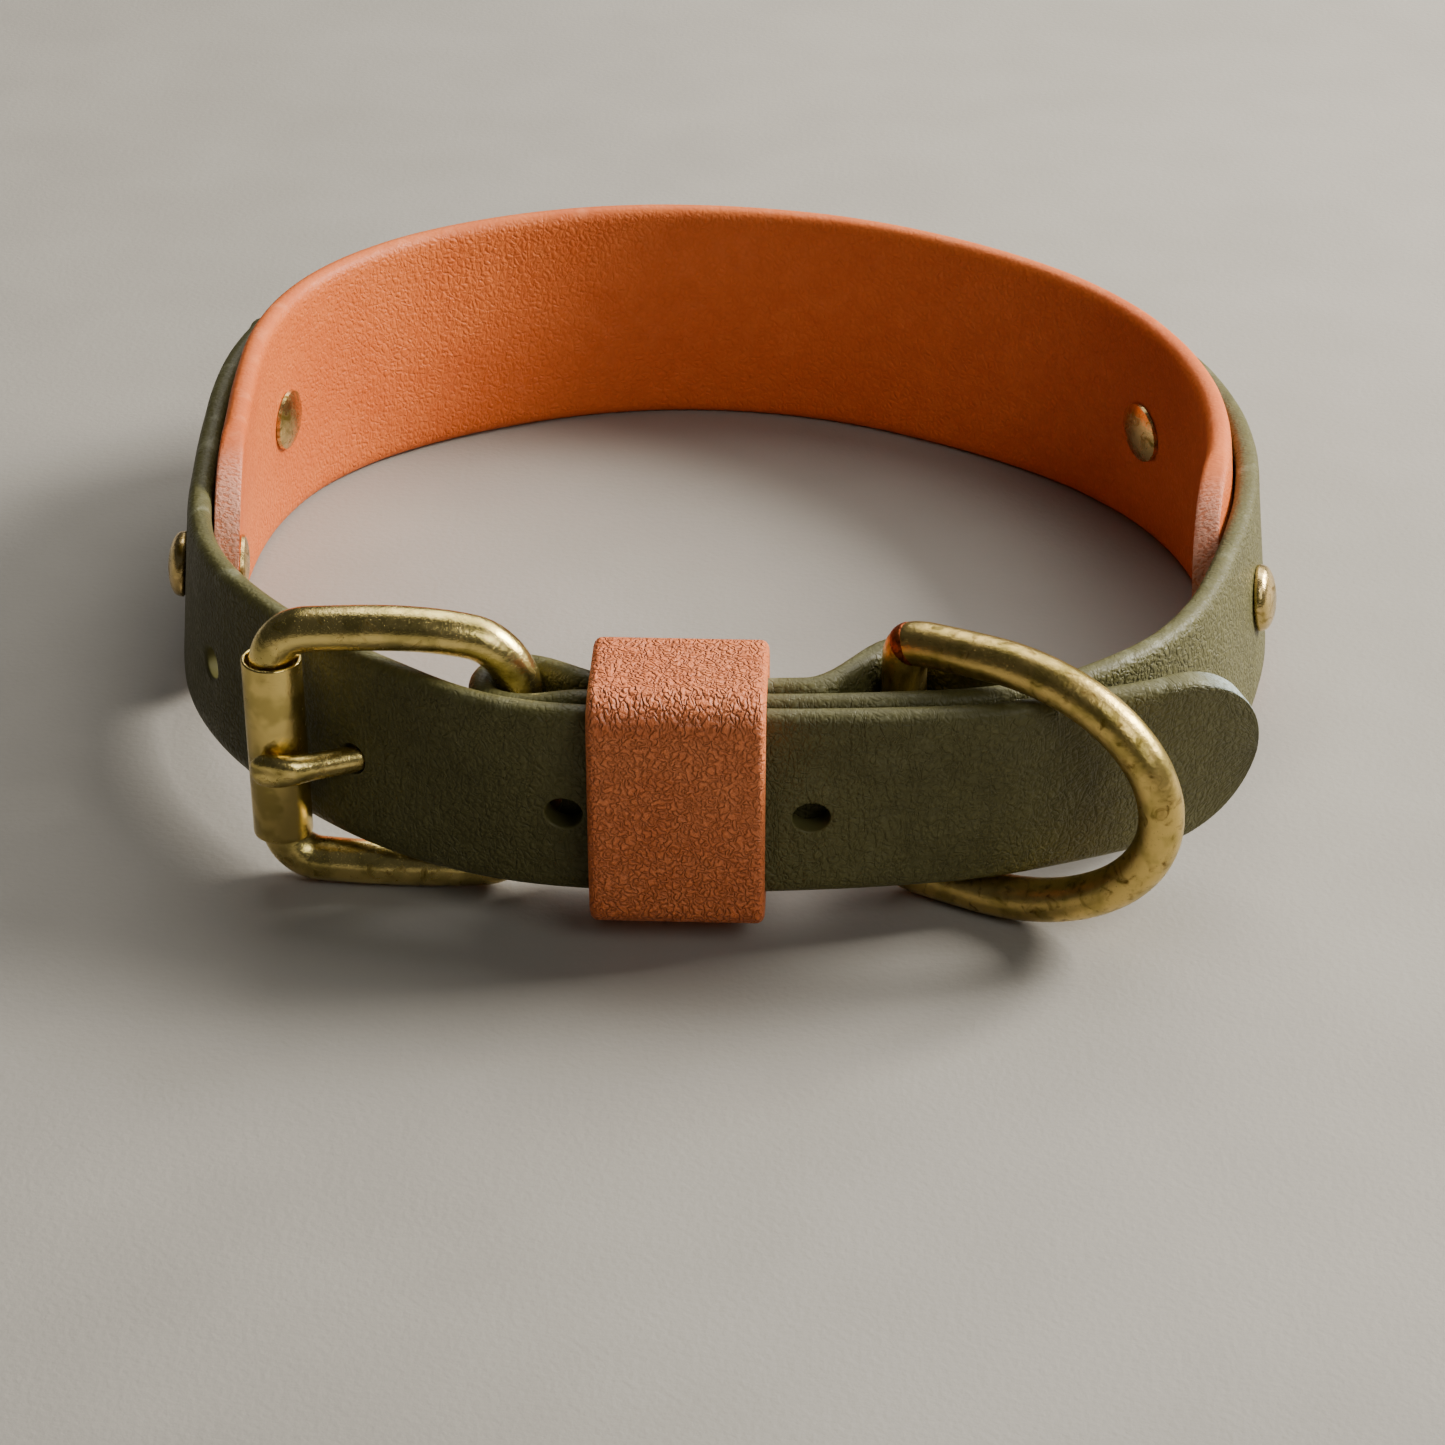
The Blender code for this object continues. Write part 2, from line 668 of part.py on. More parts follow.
def buckle_strap_stations(collar):
    """Stations of the buckle strap: right end, front layer, round the bar, inner layer."""
    line = collar.line
    last = collar.right_back + STRAP_PAST_RIVET
    distances = [last - d for d in end_distances(STRAP_CORNER)]
    distances += spread(last - STRAP_CORNER, OUTER_TO_INNER_START, STATION_SPACING)[:-1]
    distances += spread(OUTER_TO_INNER_START, 0.0, STATION_SPACING * 0.8)[:-1]
    points, leans, shares = [], [], []
    for distance in distances:
        place = line.place(distance)
        crossing = (OUTER_TO_INNER_START - distance) / (OUTER_TO_INNER_START - OUTER_TO_INNER_END)
        crossing = min(1.0, max(0.0, crossing))
        crossing = crossing * crossing * (3 - 2 * crossing)
        offset = mix(STRAP_OFFSET, -STRAP_OFFSET, crossing)
        trim = fold_trim(distance)
        points.append(layer_point(place, offset, strap_height(place, -trim / 2)))
        leans.append(place.lean)
        share = rounded_share(last - distance, STRAP_CORNER, STRAP_WIDTH)
        shares.append(share - trim / STRAP_WIDTH)
    bar = line.place(0.0)
    height = strap_height(bar, -FOLD_TRIM / 2)
    for k in range(9):
        turn = math.pi * k / 8
        spot = collar.bar + FOLD_RADIUS * (math.cos(turn) * bar.out - math.sin(turn) * bar.along)
        points.append(np.array([spot[0], spot[1], height]))
        leans.append(0.0)
        shares.append(1.0 - FOLD_TRIM / STRAP_WIDTH)
    end = RING_FOLD_RIVET_AT + FOLD_PAST_RIVET
    back = spread(FINE_SPACING, end - STRAP_CORNER, FINE_SPACING)
    back += [end - d for d in reversed(end_distances(STRAP_CORNER))]
    for distance in back:
        place = line.place(distance)
        offset = -(STRAP_OFFSET + fold_step(distance))
        trim = fold_trim(distance)
        points.append(layer_point(place, offset, strap_height(place, -trim / 2)))
        leans.append(-place.lean)
        share = rounded_share(end - distance, STRAP_CORNER, STRAP_WIDTH)
        shares.append(share - trim / STRAP_WIDTH)
    return with_headings(points, leans, shares, -1)


def build_buckle_strap(collar):
    """The olive strap outside the panel's right end, folded round the buckle's bar."""
    stations = buckle_strap_stations(collar)
    mesh = sweep_strap("buckle_strap", stations, STRAP_WIDTH, STRAP_THICKNESS)
    strap = add_object("buckle_strap", mesh, collar.parts, collar.olive)
    for distance in (collar.right_front, collar.right_back):
        drill_for_rivet(collar, strap, distance)
    for distance in (KEEPER_AT, RING_FOLD_RIVET_AT):
        place = collar.line.place(distance)
        middle = layer_point(place, -(STRAP_OFFSET + LAYER_STEP / 2), strap_height(place))
        mesh = cylinder_mesh(
            "fold_cutter", RIVET_SHANK_RADIUS + SHANK_CLEARANCE, 4 * STRAP_THICKNESS, 12
        )
        matrix = facing_matrix(middle, leaned(place))
        cut(strap, add_cutter("fold_rivet_cutter", mesh, matrix, collar.cutters))
    bar = collar.line.place(0.0)
    reach = BAR_RADIUS + PRONG_LOOP_CLEARANCE + PRONG_WIRE + PRONG_SLOT_PLAY
    size = (2 * reach, PRONG_WIRE + 2 * PRONG_SLOT_PLAY, 4 * FOLD_RADIUS)
    matrix = facing_matrix((collar.bar[0], collar.bar[1], hole_height(bar)), (*bar.out, 0.0))
    cutter = add_cutter("slot_cutter", box_mesh("slot_cutter", size), matrix, collar.cutters)
    cut(strap, cutter)
    return strap


def build_keeper(collar):
    """The closed loop round the straps beside the buckle."""
    place = collar.line.place(KEEPER_AT)
    outward = LAYER_GAP / 2 + STRAP_THICKNESS + KEEPER_DEPTH_PLAY
    inward = LAYER_GAP / 2 + 2 * STRAP_THICKNESS + LAYER_GAP + RIVET_BACK_HEIGHT
    inward += FOLD_HEAD_CLEARANCE + KEEPER_DEPTH_PLAY
    half_wall = KEEPER_THICKNESS / 2
    front, back = outward + half_wall, -(inward + half_wall)
    middle = strap_height(place, FREE_STRAP_RISE / 2)
    half_height = (STRAP_WIDTH + KEEPER_PLAY) / 2 + half_wall
    radius = KEEPER_CORNER
    corners = ((front, 1, 0), (back, 1, 90), (back, -1, 180), (front, -1, 270))
    path = []
    for depth, up, start in corners:
        inset_depth = depth - math.copysign(radius, depth)
        inset_up = up * (half_height - radius)
        path += arc((inset_depth, inset_up), radius, start, start + 90, 5)
    rings = []
    count = len(path)
    for k, (depth, up) in enumerate(path):
        before, after = path[k - 1], path[(k + 1) % count]
        run = np.array([after[0] - before[0], after[1] - before[1]])
        run = run / np.linalg.norm(run)
        wall = np.array([run[1], -run[0]])
        ring = []
        for across, sideways in strap_profile(KEEPER_WIDTH, KEEPER_THICKNESS):
            out = depth + wall[0] * across
            high = up + wall[1] * across
            spot = place.point + place.out * out + place.along * sideways
            ring.append((spot[0], spot[1], middle + high))
        rings.append(ring)
    return add_object("keeper", loft("keeper", rings, closed=True), collar.parts, collar.terracotta)


def build_buckle_frame(collar):
    """The buckle's wire: bar, two rails that bow outwards, and the side under the roller."""
    along = (collar.roller - collar.bar) / BUCKLE_LENGTH
    outward = np.array([-along[1], along[0]])
    outward = outward * math.copysign(1.0, np.dot(outward, collar.line.place(0.0).out))
    low, high = BAR_RADIUS, BUCKLE_HEIGHT - BAR_RADIUS
    radius = BUCKLE_CORNER
    rail = [(u, low) for u in spread(radius, BUCKLE_LENGTH - radius, 0.003)][1:-1]
    corner = arc((radius, low + radius), radius, 180, 270, 6)
    far_corner = arc((BUCKLE_LENGTH - radius, low + radius), radius, 270, 360, 6)
    half = corner + rail + far_corner
    outline = half + [(u, low + high - z) for u, z in reversed(half)]
    points = []
    for u, z in outline:
        share = u / BUCKLE_LENGTH
        middle = 4 * share * (1 - share)
        bow = BUCKLE_BOW * middle
        upper = -mix(BUCKLE_BAR_DROP, BUCKLE_UPPER_BULGE, share)
        bulge = BUCKLE_LOWER_BULGE if z < BUCKLE_HEIGHT / 2 else upper
        z += bulge * (1 - middle)
        spot = collar.bar + along * u + outward * bow
        points.append((spot[0], spot[1], z))
    curve = wire_curve("buckle_frame", points, WIRE, closed=True)
    return add_object("buckle_frame", curve, collar.parts, collar.brass)


def build_roller(collar):
    """The thin tube that turns on the frame's far side."""
    outer = ROLLER_DIAMETER / 2
    half = (STRAP_WIDTH - ROLLER_PLAY) / 2
    inner = outer - ROLLER_WALL
    profile = ((outer, -half), (outer, half), (inner, half), (inner, -half))
    mesh = profile_mesh("roller", profile, closed=True)
    roller = add_object("roller", mesh, collar.parts, collar.brass)
    middle = BUCKLE_HEIGHT / 2 + (BUCKLE_LOWER_BULGE - BUCKLE_UPPER_BULGE) / 2
    roller.location = (collar.roller[0], collar.roller[1], middle)
    screw(roller, 24, flip=True)
    return roller


def on_circle(middle, radius, angle):
    """A plan position on a circle, by an angle in radians."""
    return middle + radius * np.array([math.cos(angle), math.sin(angle)])


def prong_plan(collar):
    """Plan of the prong: leaving point, hole, and the two angles of its run over the roller."""
    place = collar.line.place(collar.prong_hole)
    hole = layer_point(place, STRAP_OFFSET, hole_height(place))[:2]
    loop_radius = BAR_RADIUS + PRONG_LOOP_CLEARANCE + PRONG_WIRE / 2
    over_radius = ROLLER_DIAMETER / 2 + LAYER_GAP + PRONG_WIRE / 2
    to_hole = hole - collar.bar
    to_roller = collar.roller - hole
    leave = math.atan2(to_hole[1], to_hole[0])
    leave -= math.acos(loop_radius / np.linalg.norm(to_hole))
    heading = math.atan2(to_roller[1], to_roller[0])
    heading += math.asin(over_radius / np.linalg.norm(to_roller))
    return hole, leave, loop_radius, heading, over_radius


def prong_points(collar):
    """The prong's line: loop round the bar, run through the hole, then over the roller."""
    hole, leave, loop_radius, heading, over_radius = prong_plan(collar)
    height = hole_height(collar.line.place(collar.prong_hole))
    points = []
    for k in range(15):
        spot = on_circle(collar.bar, loop_radius, leave - math.radians(PRONG_LOOP) * (1 - k / 14))
        points.append((spot[0], spot[1], height))
    start = on_circle(collar.bar, loop_radius, leave)
    length = np.linalg.norm(hole - start)
    begin_run = np.array([-math.sin(leave), math.cos(leave)]) * length
    end_run = np.array([math.cos(heading), math.sin(heading)]) * length
    for k in range(1, 8):
        t = k / 7
        spot = (2 * t**3 - 3 * t**2 + 1) * start + (t**3 - 2 * t**2 + t) * begin_run
        spot = spot + (3 * t**2 - 2 * t**3) * hole + (t**3 - t**2) * end_run
        points.append((spot[0], spot[1], height))
    first = heading + math.pi / 2
    last = math.radians(-90.0 - PRONG_TIP_BEND)
    first -= 2 * math.pi * round((first - last) / (2 * math.pi))
    rise_from, rise_to = np.array([*hole, height]), on_circle(collar.roller, over_radius, first)
    touch = np.array([*rise_to, height + PRONG_RISE])
    points += [tuple(mix(rise_from, touch, t)) for t in (0.35, 0.7)]
    for k in range(8):
        spot = on_circle(collar.roller, over_radius, mix(first, last, k / 7))
        points.append((spot[0], spot[1], height + PRONG_RISE * (1 - 0.25 * (k / 7) ** 2)))
    return points


def prong_through_hole(collar):
    """Where the prong crosses the strap, and which way it goes there."""
    points = [np.array(point) for point in prong_points(collar)]
    place = collar.line.place(collar.prong_hole)
    centre = layer_point(place, STRAP_OFFSET, hole_height(place))
    nearest = int(np.argmin([np.linalg.norm(point - centre) for point in points]))
    return centre, points[nearest + 1] - points[nearest - 1]


def build_prong(collar):
    """The tongue of the buckle, with its tip narrowed over the roller."""
    points = prong_points(collar)
    radii = [1.0] * len(points)
    tip = PRONG_TIP / PRONG_WIRE
    for k, share in enumerate((mix(tip, 1.0, 0.85), mix(tip, 1.0, 0.5), tip)):
        radii[len(points) - 3 + k] = share
    curve = wire_curve("prong", points, PRONG_WIRE, closed=False, radii=radii)
    return add_object("prong", curve, collar.parts, collar.brass)


def d_ring_outline():
    """The D-ring's closed line: distance from its bar, and height from its middle."""
    corner = D_RING_CORNER
    low = D_RING_BAR_HALF
    half = [(0.0, 0.4 * low), (0.0, low - corner)]
    half += [(corner * 0.3, low - corner * 0.3)]
    for k in range(1, 4):
        reach = D_RING_STRAIGHT * k / 4
        splay = D_RING_SPLAY * (1 - reach / D_RING_STRAIGHT) ** 2
        half.append((reach, D_RING_HALF - splay))
    for k in range(11):
        turn = math.pi / 2 * k / 10
        reach = D_RING_STRAIGHT + (D_RING_REACH - D_RING_STRAIGHT) * math.sin(turn)
        half.append((reach, D_RING_HALF * math.cos(turn)))
    half[-1] = (D_RING_REACH, 0.0)
    mirrored = [(reach, -up) for reach, up in reversed(half[:-1])]
    return half + mirrored


def d_ring_angle(collar):
    """Turn of the D-ring about its bar, in radians, at which it rests against the strap."""
    middle = D_RING_HALF + BAR_RADIUS
    bar = collar.ring_bar_axis()
    place = collar.line.place(D_RING_AT)
    outline = np.array(d_ring_outline())
    dense = np.concatenate([mix(outline, np.roll(outline, -1, axis=0), t) for t in (0, 0.33, 0.67)])
    stations = [s for s in hole_strap_stations(collar) if s.x > place.point[0] and s.share > 0.9]
    skin = []
    for first, second in zip(stations, stations[1:]):
        ring_a = np.array(station_ring(first, STRAP_WIDTH, STRAP_THICKNESS))
        ring_b = np.array(station_ring(second, STRAP_WIDTH, STRAP_THICKNESS))
        for t in np.linspace(0, 1, 4, endpoint=False):
            ring = mix(ring_a, ring_b, t)
            skin += [mix(ring, np.roll(ring, -1, axis=0), u) for u in np.linspace(0, 1, 8)]
    skin = np.concatenate(skin)
    start = math.atan2(place.along[1], place.along[0])
    degrees = D_RING_START_ANGLE
    while degrees < 60.0:
        turn = start - math.radians(degrees)
        x = bar[0] + dense[:, 0] * math.cos(turn)
        y = bar[1] + dense[:, 0] * math.sin(turn)
        wire = np.stack([x, y, middle + dense[:, 1]], axis=1)
        gaps = np.linalg.norm(wire[:, None, :] - skin[None, :, :], axis=2)
        if gaps.min() > BAR_RADIUS + LAYER_GAP:
            break
        degrees += D_RING_ANGLE_STEP
    return turn


def build_d_ring(collar):
    """The D-ring, whose origin is on its bar, the axis that it swings about."""
    points = [(reach, 0.0, up) for reach, up in d_ring_outline()]
    curve = wire_curve("d_ring", points, WIRE, closed=True)
    ring = add_object("d_ring", curve, collar.parts, collar.brass)
    bar = collar.ring_bar_axis()
    ring.location = (bar[0], bar[1], D_RING_HALF + BAR_RADIUS)
    ring.rotation_euler = (0.0, 0.0, d_ring_angle(collar))
    return ring


def rivet_profile(grip, head_height, back_height):
    """Half outline of a rivet: domed head on top, shank, flat-domed back, down its outer side."""
    radius = RIVET_HEAD_RADIUS
    top = grip / 2 + SHANK_CLEARANCE
    rim = 0.35
    points = [(0.0, top + head_height)]
    for k in range(1, 4):
        angle = math.pi / 2 * k / 4
        height = mix(rim, 1.0, math.cos(angle)) * head_height
        points.append((radius * math.sin(angle), top + height))
    points += [(radius, top + rim * head_height), (radius, top), (RIVET_SHANK_RADIUS, top)]
    points += [(RIVET_SHANK_RADIUS, -top), (radius, -top), (radius, -top - rim * back_height)]
    points += [(radius * 0.7, -top - 0.9 * back_height), (0.0, -top - back_height)]
    return points


def build_rivets(collar):
    """Four rivets through the panel and the straps."""
    grip = PANEL_THICKNESS + STRAP_THICKNESS + LAYER_GAP
    mesh = profile_mesh("rivet", rivet_profile(grip, RIVET_HEAD_HEIGHT, RIVET_BACK_HEIGHT))
    mesh.materials.append(collar.brass)
    spots = {
        "rivet_right_front": collar.right_front,
        "rivet_right_back": collar.right_back,
        "rivet_left_back": collar.left_back,
        "rivet_left_front": collar.left_front,
    }
    middle = (STRAP_THICKNESS - PANEL_THICKNESS) / 2
    for name, distance in spots.items():
        place, height = collar.rivet_at(distance)
        rivet = bpy.data.objects.new(name, mesh)
        collar.parts.objects.link(rivet)
        rivet.matrix_world = facing_matrix(layer_point(place, middle, height), leaned(place))
        screw(rivet, 14)


def build_fold_rivets(collar):
    """Two plain rivets that hold the fold, headed on the inside and flush under the free strap."""
    grip = STRAP_THICKNESS + LAYER_STEP
    radius, shank = FOLD_RIVET_RADIUS, RIVET_SHANK_RADIUS
    back = -(grip / 2 + FOLD_HEAD_CLEARANCE)
    top = grip / 2 - SHANK_CLEARANCE
    tall = RIVET_BACK_HEIGHT
    points = [(0.0, top), (shank, top), (shank, back), (radius, back), (radius, back - 0.4 * tall)]
    points += [(radius * 0.7, back - 0.9 * tall), (0.0, back - tall)]
    mesh = profile_mesh("fold_rivet", points)
    mesh.materials.append(collar.brass)
    spots = {"fold_rivet_keeper": KEEPER_AT, "fold_rivet_ring": RING_FOLD_RIVET_AT}
    for name, distance in spots.items():
        place = collar.line.place(distance)
        middle = layer_point(place, -(STRAP_OFFSET + LAYER_STEP / 2), strap_height(place))
        rivet = bpy.data.objects.new(name, mesh)
        collar.parts.objects.link(rivet)
        rivet.matrix_world = facing_matrix(middle, leaned(place))
        screw(rivet, 14)


def stand_on_origin(collar):
    """Moves everything so that the origin is on the ground under the middle of the collar."""
    bpy.context.view_layer.update()
    graph = bpy.context.evaluated_depsgraph_get()
    points = []
    for obj in collar.parts.objects:
        evaluated = obj.evaluated_get(graph)
        mesh = evaluated.to_mesh()
        points += [tuple(evaluated.matrix_world @ vertex.co) for vertex in mesh.vertices]
        evaluated.to_mesh_clear()
    low, high = np.min(points, axis=0), np.max(points, axis=0)
    shift = Vector((-(low[0] + high[0]) / 2, -(low[1] + high[1]) / 2, -low[2]))
    for obj in list(collar.parts.objects) + list(collar.cutters.objects):
        obj.location = obj.location + shift


def main():
    """Builds the collar."""
    clear_scene()
    collar = Collar()
    build_panel(collar)
    build_hole_strap(collar)
    build_buckle_strap(collar)
    build_keeper(collar)
    build_buckle_frame(collar)
    build_roller(collar)
    build_prong(collar)
    build_d_ring(collar)
    build_rivets(collar)
    build_fold_rivets(collar)
    stand_on_origin(collar)


main()
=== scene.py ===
"""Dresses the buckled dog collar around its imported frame. Metres, +Z up.

The straps follow one closed ring line, as the frame's solids do. Distances along it start at the
buckle's bar and grow anticlockwise as seen from above. Each strap mesh carries two UV maps: "lay"
holds metres along and around the strap, and "edge" holds how far a face is a cut end and how far
it is on the rolled edge.
"""

from __future__ import annotations

import json
import logging
import math
from collections.abc import Sequence
from dataclasses import dataclass, field
from enum import Enum

import bpy
import numpy as np
from mathutils import Matrix, Vector, noise

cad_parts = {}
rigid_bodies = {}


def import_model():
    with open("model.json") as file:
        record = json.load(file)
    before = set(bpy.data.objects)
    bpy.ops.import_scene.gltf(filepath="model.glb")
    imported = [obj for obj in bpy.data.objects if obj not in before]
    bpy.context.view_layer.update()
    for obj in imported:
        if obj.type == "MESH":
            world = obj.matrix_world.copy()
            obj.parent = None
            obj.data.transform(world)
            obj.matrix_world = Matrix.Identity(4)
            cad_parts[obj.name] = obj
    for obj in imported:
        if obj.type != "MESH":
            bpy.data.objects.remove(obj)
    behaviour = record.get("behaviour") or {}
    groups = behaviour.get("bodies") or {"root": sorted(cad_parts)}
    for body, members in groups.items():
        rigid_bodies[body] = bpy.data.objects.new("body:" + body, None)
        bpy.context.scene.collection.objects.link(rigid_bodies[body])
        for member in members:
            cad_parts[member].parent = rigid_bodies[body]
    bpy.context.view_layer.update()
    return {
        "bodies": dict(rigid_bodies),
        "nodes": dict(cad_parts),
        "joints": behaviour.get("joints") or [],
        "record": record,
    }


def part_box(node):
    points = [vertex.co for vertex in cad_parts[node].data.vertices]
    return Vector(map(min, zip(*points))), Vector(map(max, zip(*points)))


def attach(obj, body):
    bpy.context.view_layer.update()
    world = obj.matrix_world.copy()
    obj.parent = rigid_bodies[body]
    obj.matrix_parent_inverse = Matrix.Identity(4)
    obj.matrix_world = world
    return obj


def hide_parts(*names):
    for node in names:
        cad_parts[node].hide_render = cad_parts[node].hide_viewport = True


LOG = logging.getLogger("dog_collar")

LAY_MAP = "lay"
EDGE_MAP = "edge"

# The lay value of a helper's faces, so that a cut wall is grained like the middle of a strap.
CUT_WALL_LAY = 0.011
# How far a helper reaches past the wall that it cuts.
CUT_PAST = 0.0006
# Faces that meet at more than this many degrees show a sharp edge.
SHARP_ANGLE = 48.0
# Waves in a metre of the webbing's ripple and of the wire's hand-worked unevenness.
RIPPLE_WAVES = 160.0
WORN_WAVES = 420.0
# Steps of a corner's quarter turn, and of the wide turns of the fold, the prong and the D-ring.
CORNER_STEPS = 12
LOOP_STEPS = 24
# The smallest radius of a lathed profile, which closes its ends.
AXIS_RADIUS = 0.00001

# Rows of the ring line: share of half the width, share of half the depth, lean in degrees, rise.
RING_ROWS = (
    (-0.380, -0.947, 0.0, 1.00),
    (-0.144, -0.984, 0.0, 1.00),
    (0.077, -0.989, 1.0, 1.00),
    (0.314, -0.976, 3.5, 1.00),
    (0.517, -0.941, 5.5, 1.00),
    (0.628, -0.894, 4.0, 1.00),
    (0.726, -0.822, 0.0, 0.95),
    (0.801, -0.727, -5.0, 0.80),
    (0.854, -0.615, -7.5, 0.60),
    (0.925, -0.418, -8.0, 0.30),
    (0.971, -0.257, -7.5, 0.10),
    (1.004, 0.073, -5.0, 0.0),
    (0.937, 0.376, -4.0, 0.0),
    (0.797, 0.600, -2.0, 0.0),
    (0.552, 0.806, 0.0, 0.0),
    (0.301, 0.936, 0.0, 0.0),
    (0.029, 1.002, 0.0, 0.0),
    (-0.230, 1.002, 1.5, 0.0),
    (-0.479, 0.939, 3.0, 0.0),
    (-0.713, 0.815, 2.5, 0.0),
    (-0.874, 0.651, 0.0, 0.0),
    (-0.969, 0.422, -3.0, 0.0),
    (-0.994, 0.147, -6.0, 0.0),
    (-0.985, -0.128, -6.0, 0.10),
    (-0.950, -0.360, -5.0, 0.40),
    (-0.860, -0.556, -5.0, 0.80),
    (-0.722, -0.724, -5.5, 1.00),
    (-0.550, -0.862, -5.0, 1.00),
)


class Body(Enum):
    """The frame's bodies that a piece can ride on."""

    COLLAR = "collar"
    D_RING = "d_ring"
    ROLLER = "roller"


class Slot(Enum):
    """The record's material slots."""

    OLIVE = "olive_strap"
    TERRACOTTA = "terracotta_strap"
    BRASS = "antique_brass"


def mix(first: float, second: float, share: float) -> float:
    """The value a share of the way from the first to the second; arrays work too."""
    return first + (second - first) * share


def linear(red: int, green: int, blue: int) -> tuple[float, float, float, float]:
    """Turns a display colour of 0 to 255 a channel into the linear colour of a shader socket.

    Args:
        red: The red channel.
        green: The green channel.
        blue: The blue channel.

    Returns:
        Linear red, green and blue, and an alpha of 1.
    """
    channels = []
    for channel in (red, green, blue):
        share = channel / 255
        low = share / 12.92
        channels.append(low if share <= 0.04045 else ((share + 0.055) / 1.055) ** 2.4)
    return (*channels, 1.0)


# Ring line


@dataclass(frozen=True)
class Place:
    """A place on the ring line, in plan, with its lean in radians and its rise."""

    point: np.ndarray
    along: np.ndarray
    out: np.ndarray
    lean: float
    rise: float

    def leaned(self) -> np.ndarray:
        """The outward direction of a leaning strap, square to its faces."""
        cosine, sine = math.cos(self.lean), math.sin(self.lean)
        return np.array([self.out[0] * cosine, self.out[1] * cosine, -sine])


@dataclass
class RingLine:
    """The closed line between the collar's layers.

    Args:
        width: Across the ring, from side to side.
        depth: Across the ring, from front to back.
        samples: How many points the line is kept as.
    """

    width: float = 0.1044
    depth: float = 0.1090
    samples: int = 1440
    shift: np.ndarray = field(default_factory=lambda: np.zeros(2))

    def __post_init__(self) -> None:
        """Samples the smooth closed curve through the rows."""
        rows = np.array(RING_ROWS) * np.array([self.width / 2, self.depth / 2, 1.0, 1.0])
        self.rows = self._smooth(rows)
        gaps = np.linalg.norm(np.roll(self.rows, -1, axis=0)[:, :2] - self.rows[:, :2], axis=1)
        self.length = float(gaps.sum())
        self.starts = np.concatenate([[0.0], np.cumsum(gaps)[:-1]])

    def _smooth(self, points: np.ndarray) -> np.ndarray:
        """A periodic cubic spline through rows of values.

        Args:
            points: The rows that the curve passes through.

        Returns:
            Samples of the curve, evenly spread between the rows.
        """
        steps = np.linalg.norm(np.roll(points, -1, axis=0)[:, :2] - points[:, :2], axis=1)
        count = len(points)
        system = np.zeros((count, count))
        right = np.zeros_like(points)
        for i in range(count):
            before, after = steps[i - 1], steps[i]
            following = (i + 1) % count
            system[i, i - 1] = 1 / before
            system[i, i] = 2 / before + 2 / after
            system[i, following] = 1 / after
            right[i] = 3 * (points[i] - points[i - 1]) / before**2
            right[i] += 3 * (points[following] - points[i]) / after**2
        slopes = np.linalg.solve(system, right)
        starts = np.concatenate([[0.0], np.cumsum(steps)])
        rows = []
        for value in np.linspace(0.0, starts[-1], self.samples, endpoint=False):
            i = int(np.searchsorted(starts, value, side="right")) - 1
            t = (value - starts[i]) / steps[i]
            j = (i + 1) % count
            row = (2 * t**3 - 3 * t**2 + 1) * points[i]
            row = row + (t**3 - 2 * t**2 + t) * steps[i] * slopes[i]
            row = row + (3 * t**2 - 2 * t**3) * points[j]
            rows.append(row + (t**3 - t**2) * steps[i] * slopes[j])
        return np.array(rows)

    def value(self, distance: float) -> np.ndarray:
        """The row of values at a distance along the line."""
        around = distance % self.length
        return np.array(
            [np.interp(around, self.starts, self.rows[:, k], period=self.length) for k in range(4)]
        )

    def place(self, distance: float) -> Place:
        """Where the line is at a distance along it.

        Args:
            distance: Metres from the buckle's bar, anticlockwise.

        Returns:
            The place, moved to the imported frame's origin.
        """
        row = self.value(distance)
        step = self.length / self.samples
        along = (self.value(distance + step) - self.value(distance - step))[:2]
        along = along / np.linalg.norm(along)
        out = np.array([along[1], -along[0]])
        rise = float(np.clip(row[3], 0.0, 1.0))
        return Place(row[:2] + self.shift, along, out, math.radians(row[2]), rise)

    def distance_at(self, degrees: float) -> float:
        """The distance at which the line lies in this direction from the middle of the ring.

        Args:
            degrees: Direction in plan, anticlockwise from +X.

        Returns:
            Metres from the buckle's bar.
        """
        angles = np.degrees(np.arctan2(self.rows[:, 1], self.rows[:, 0]))
        away = np.abs((angles - degrees + 180.0) % 360.0 - 180.0)
        return float(self.starts[int(np.argmin(away))])


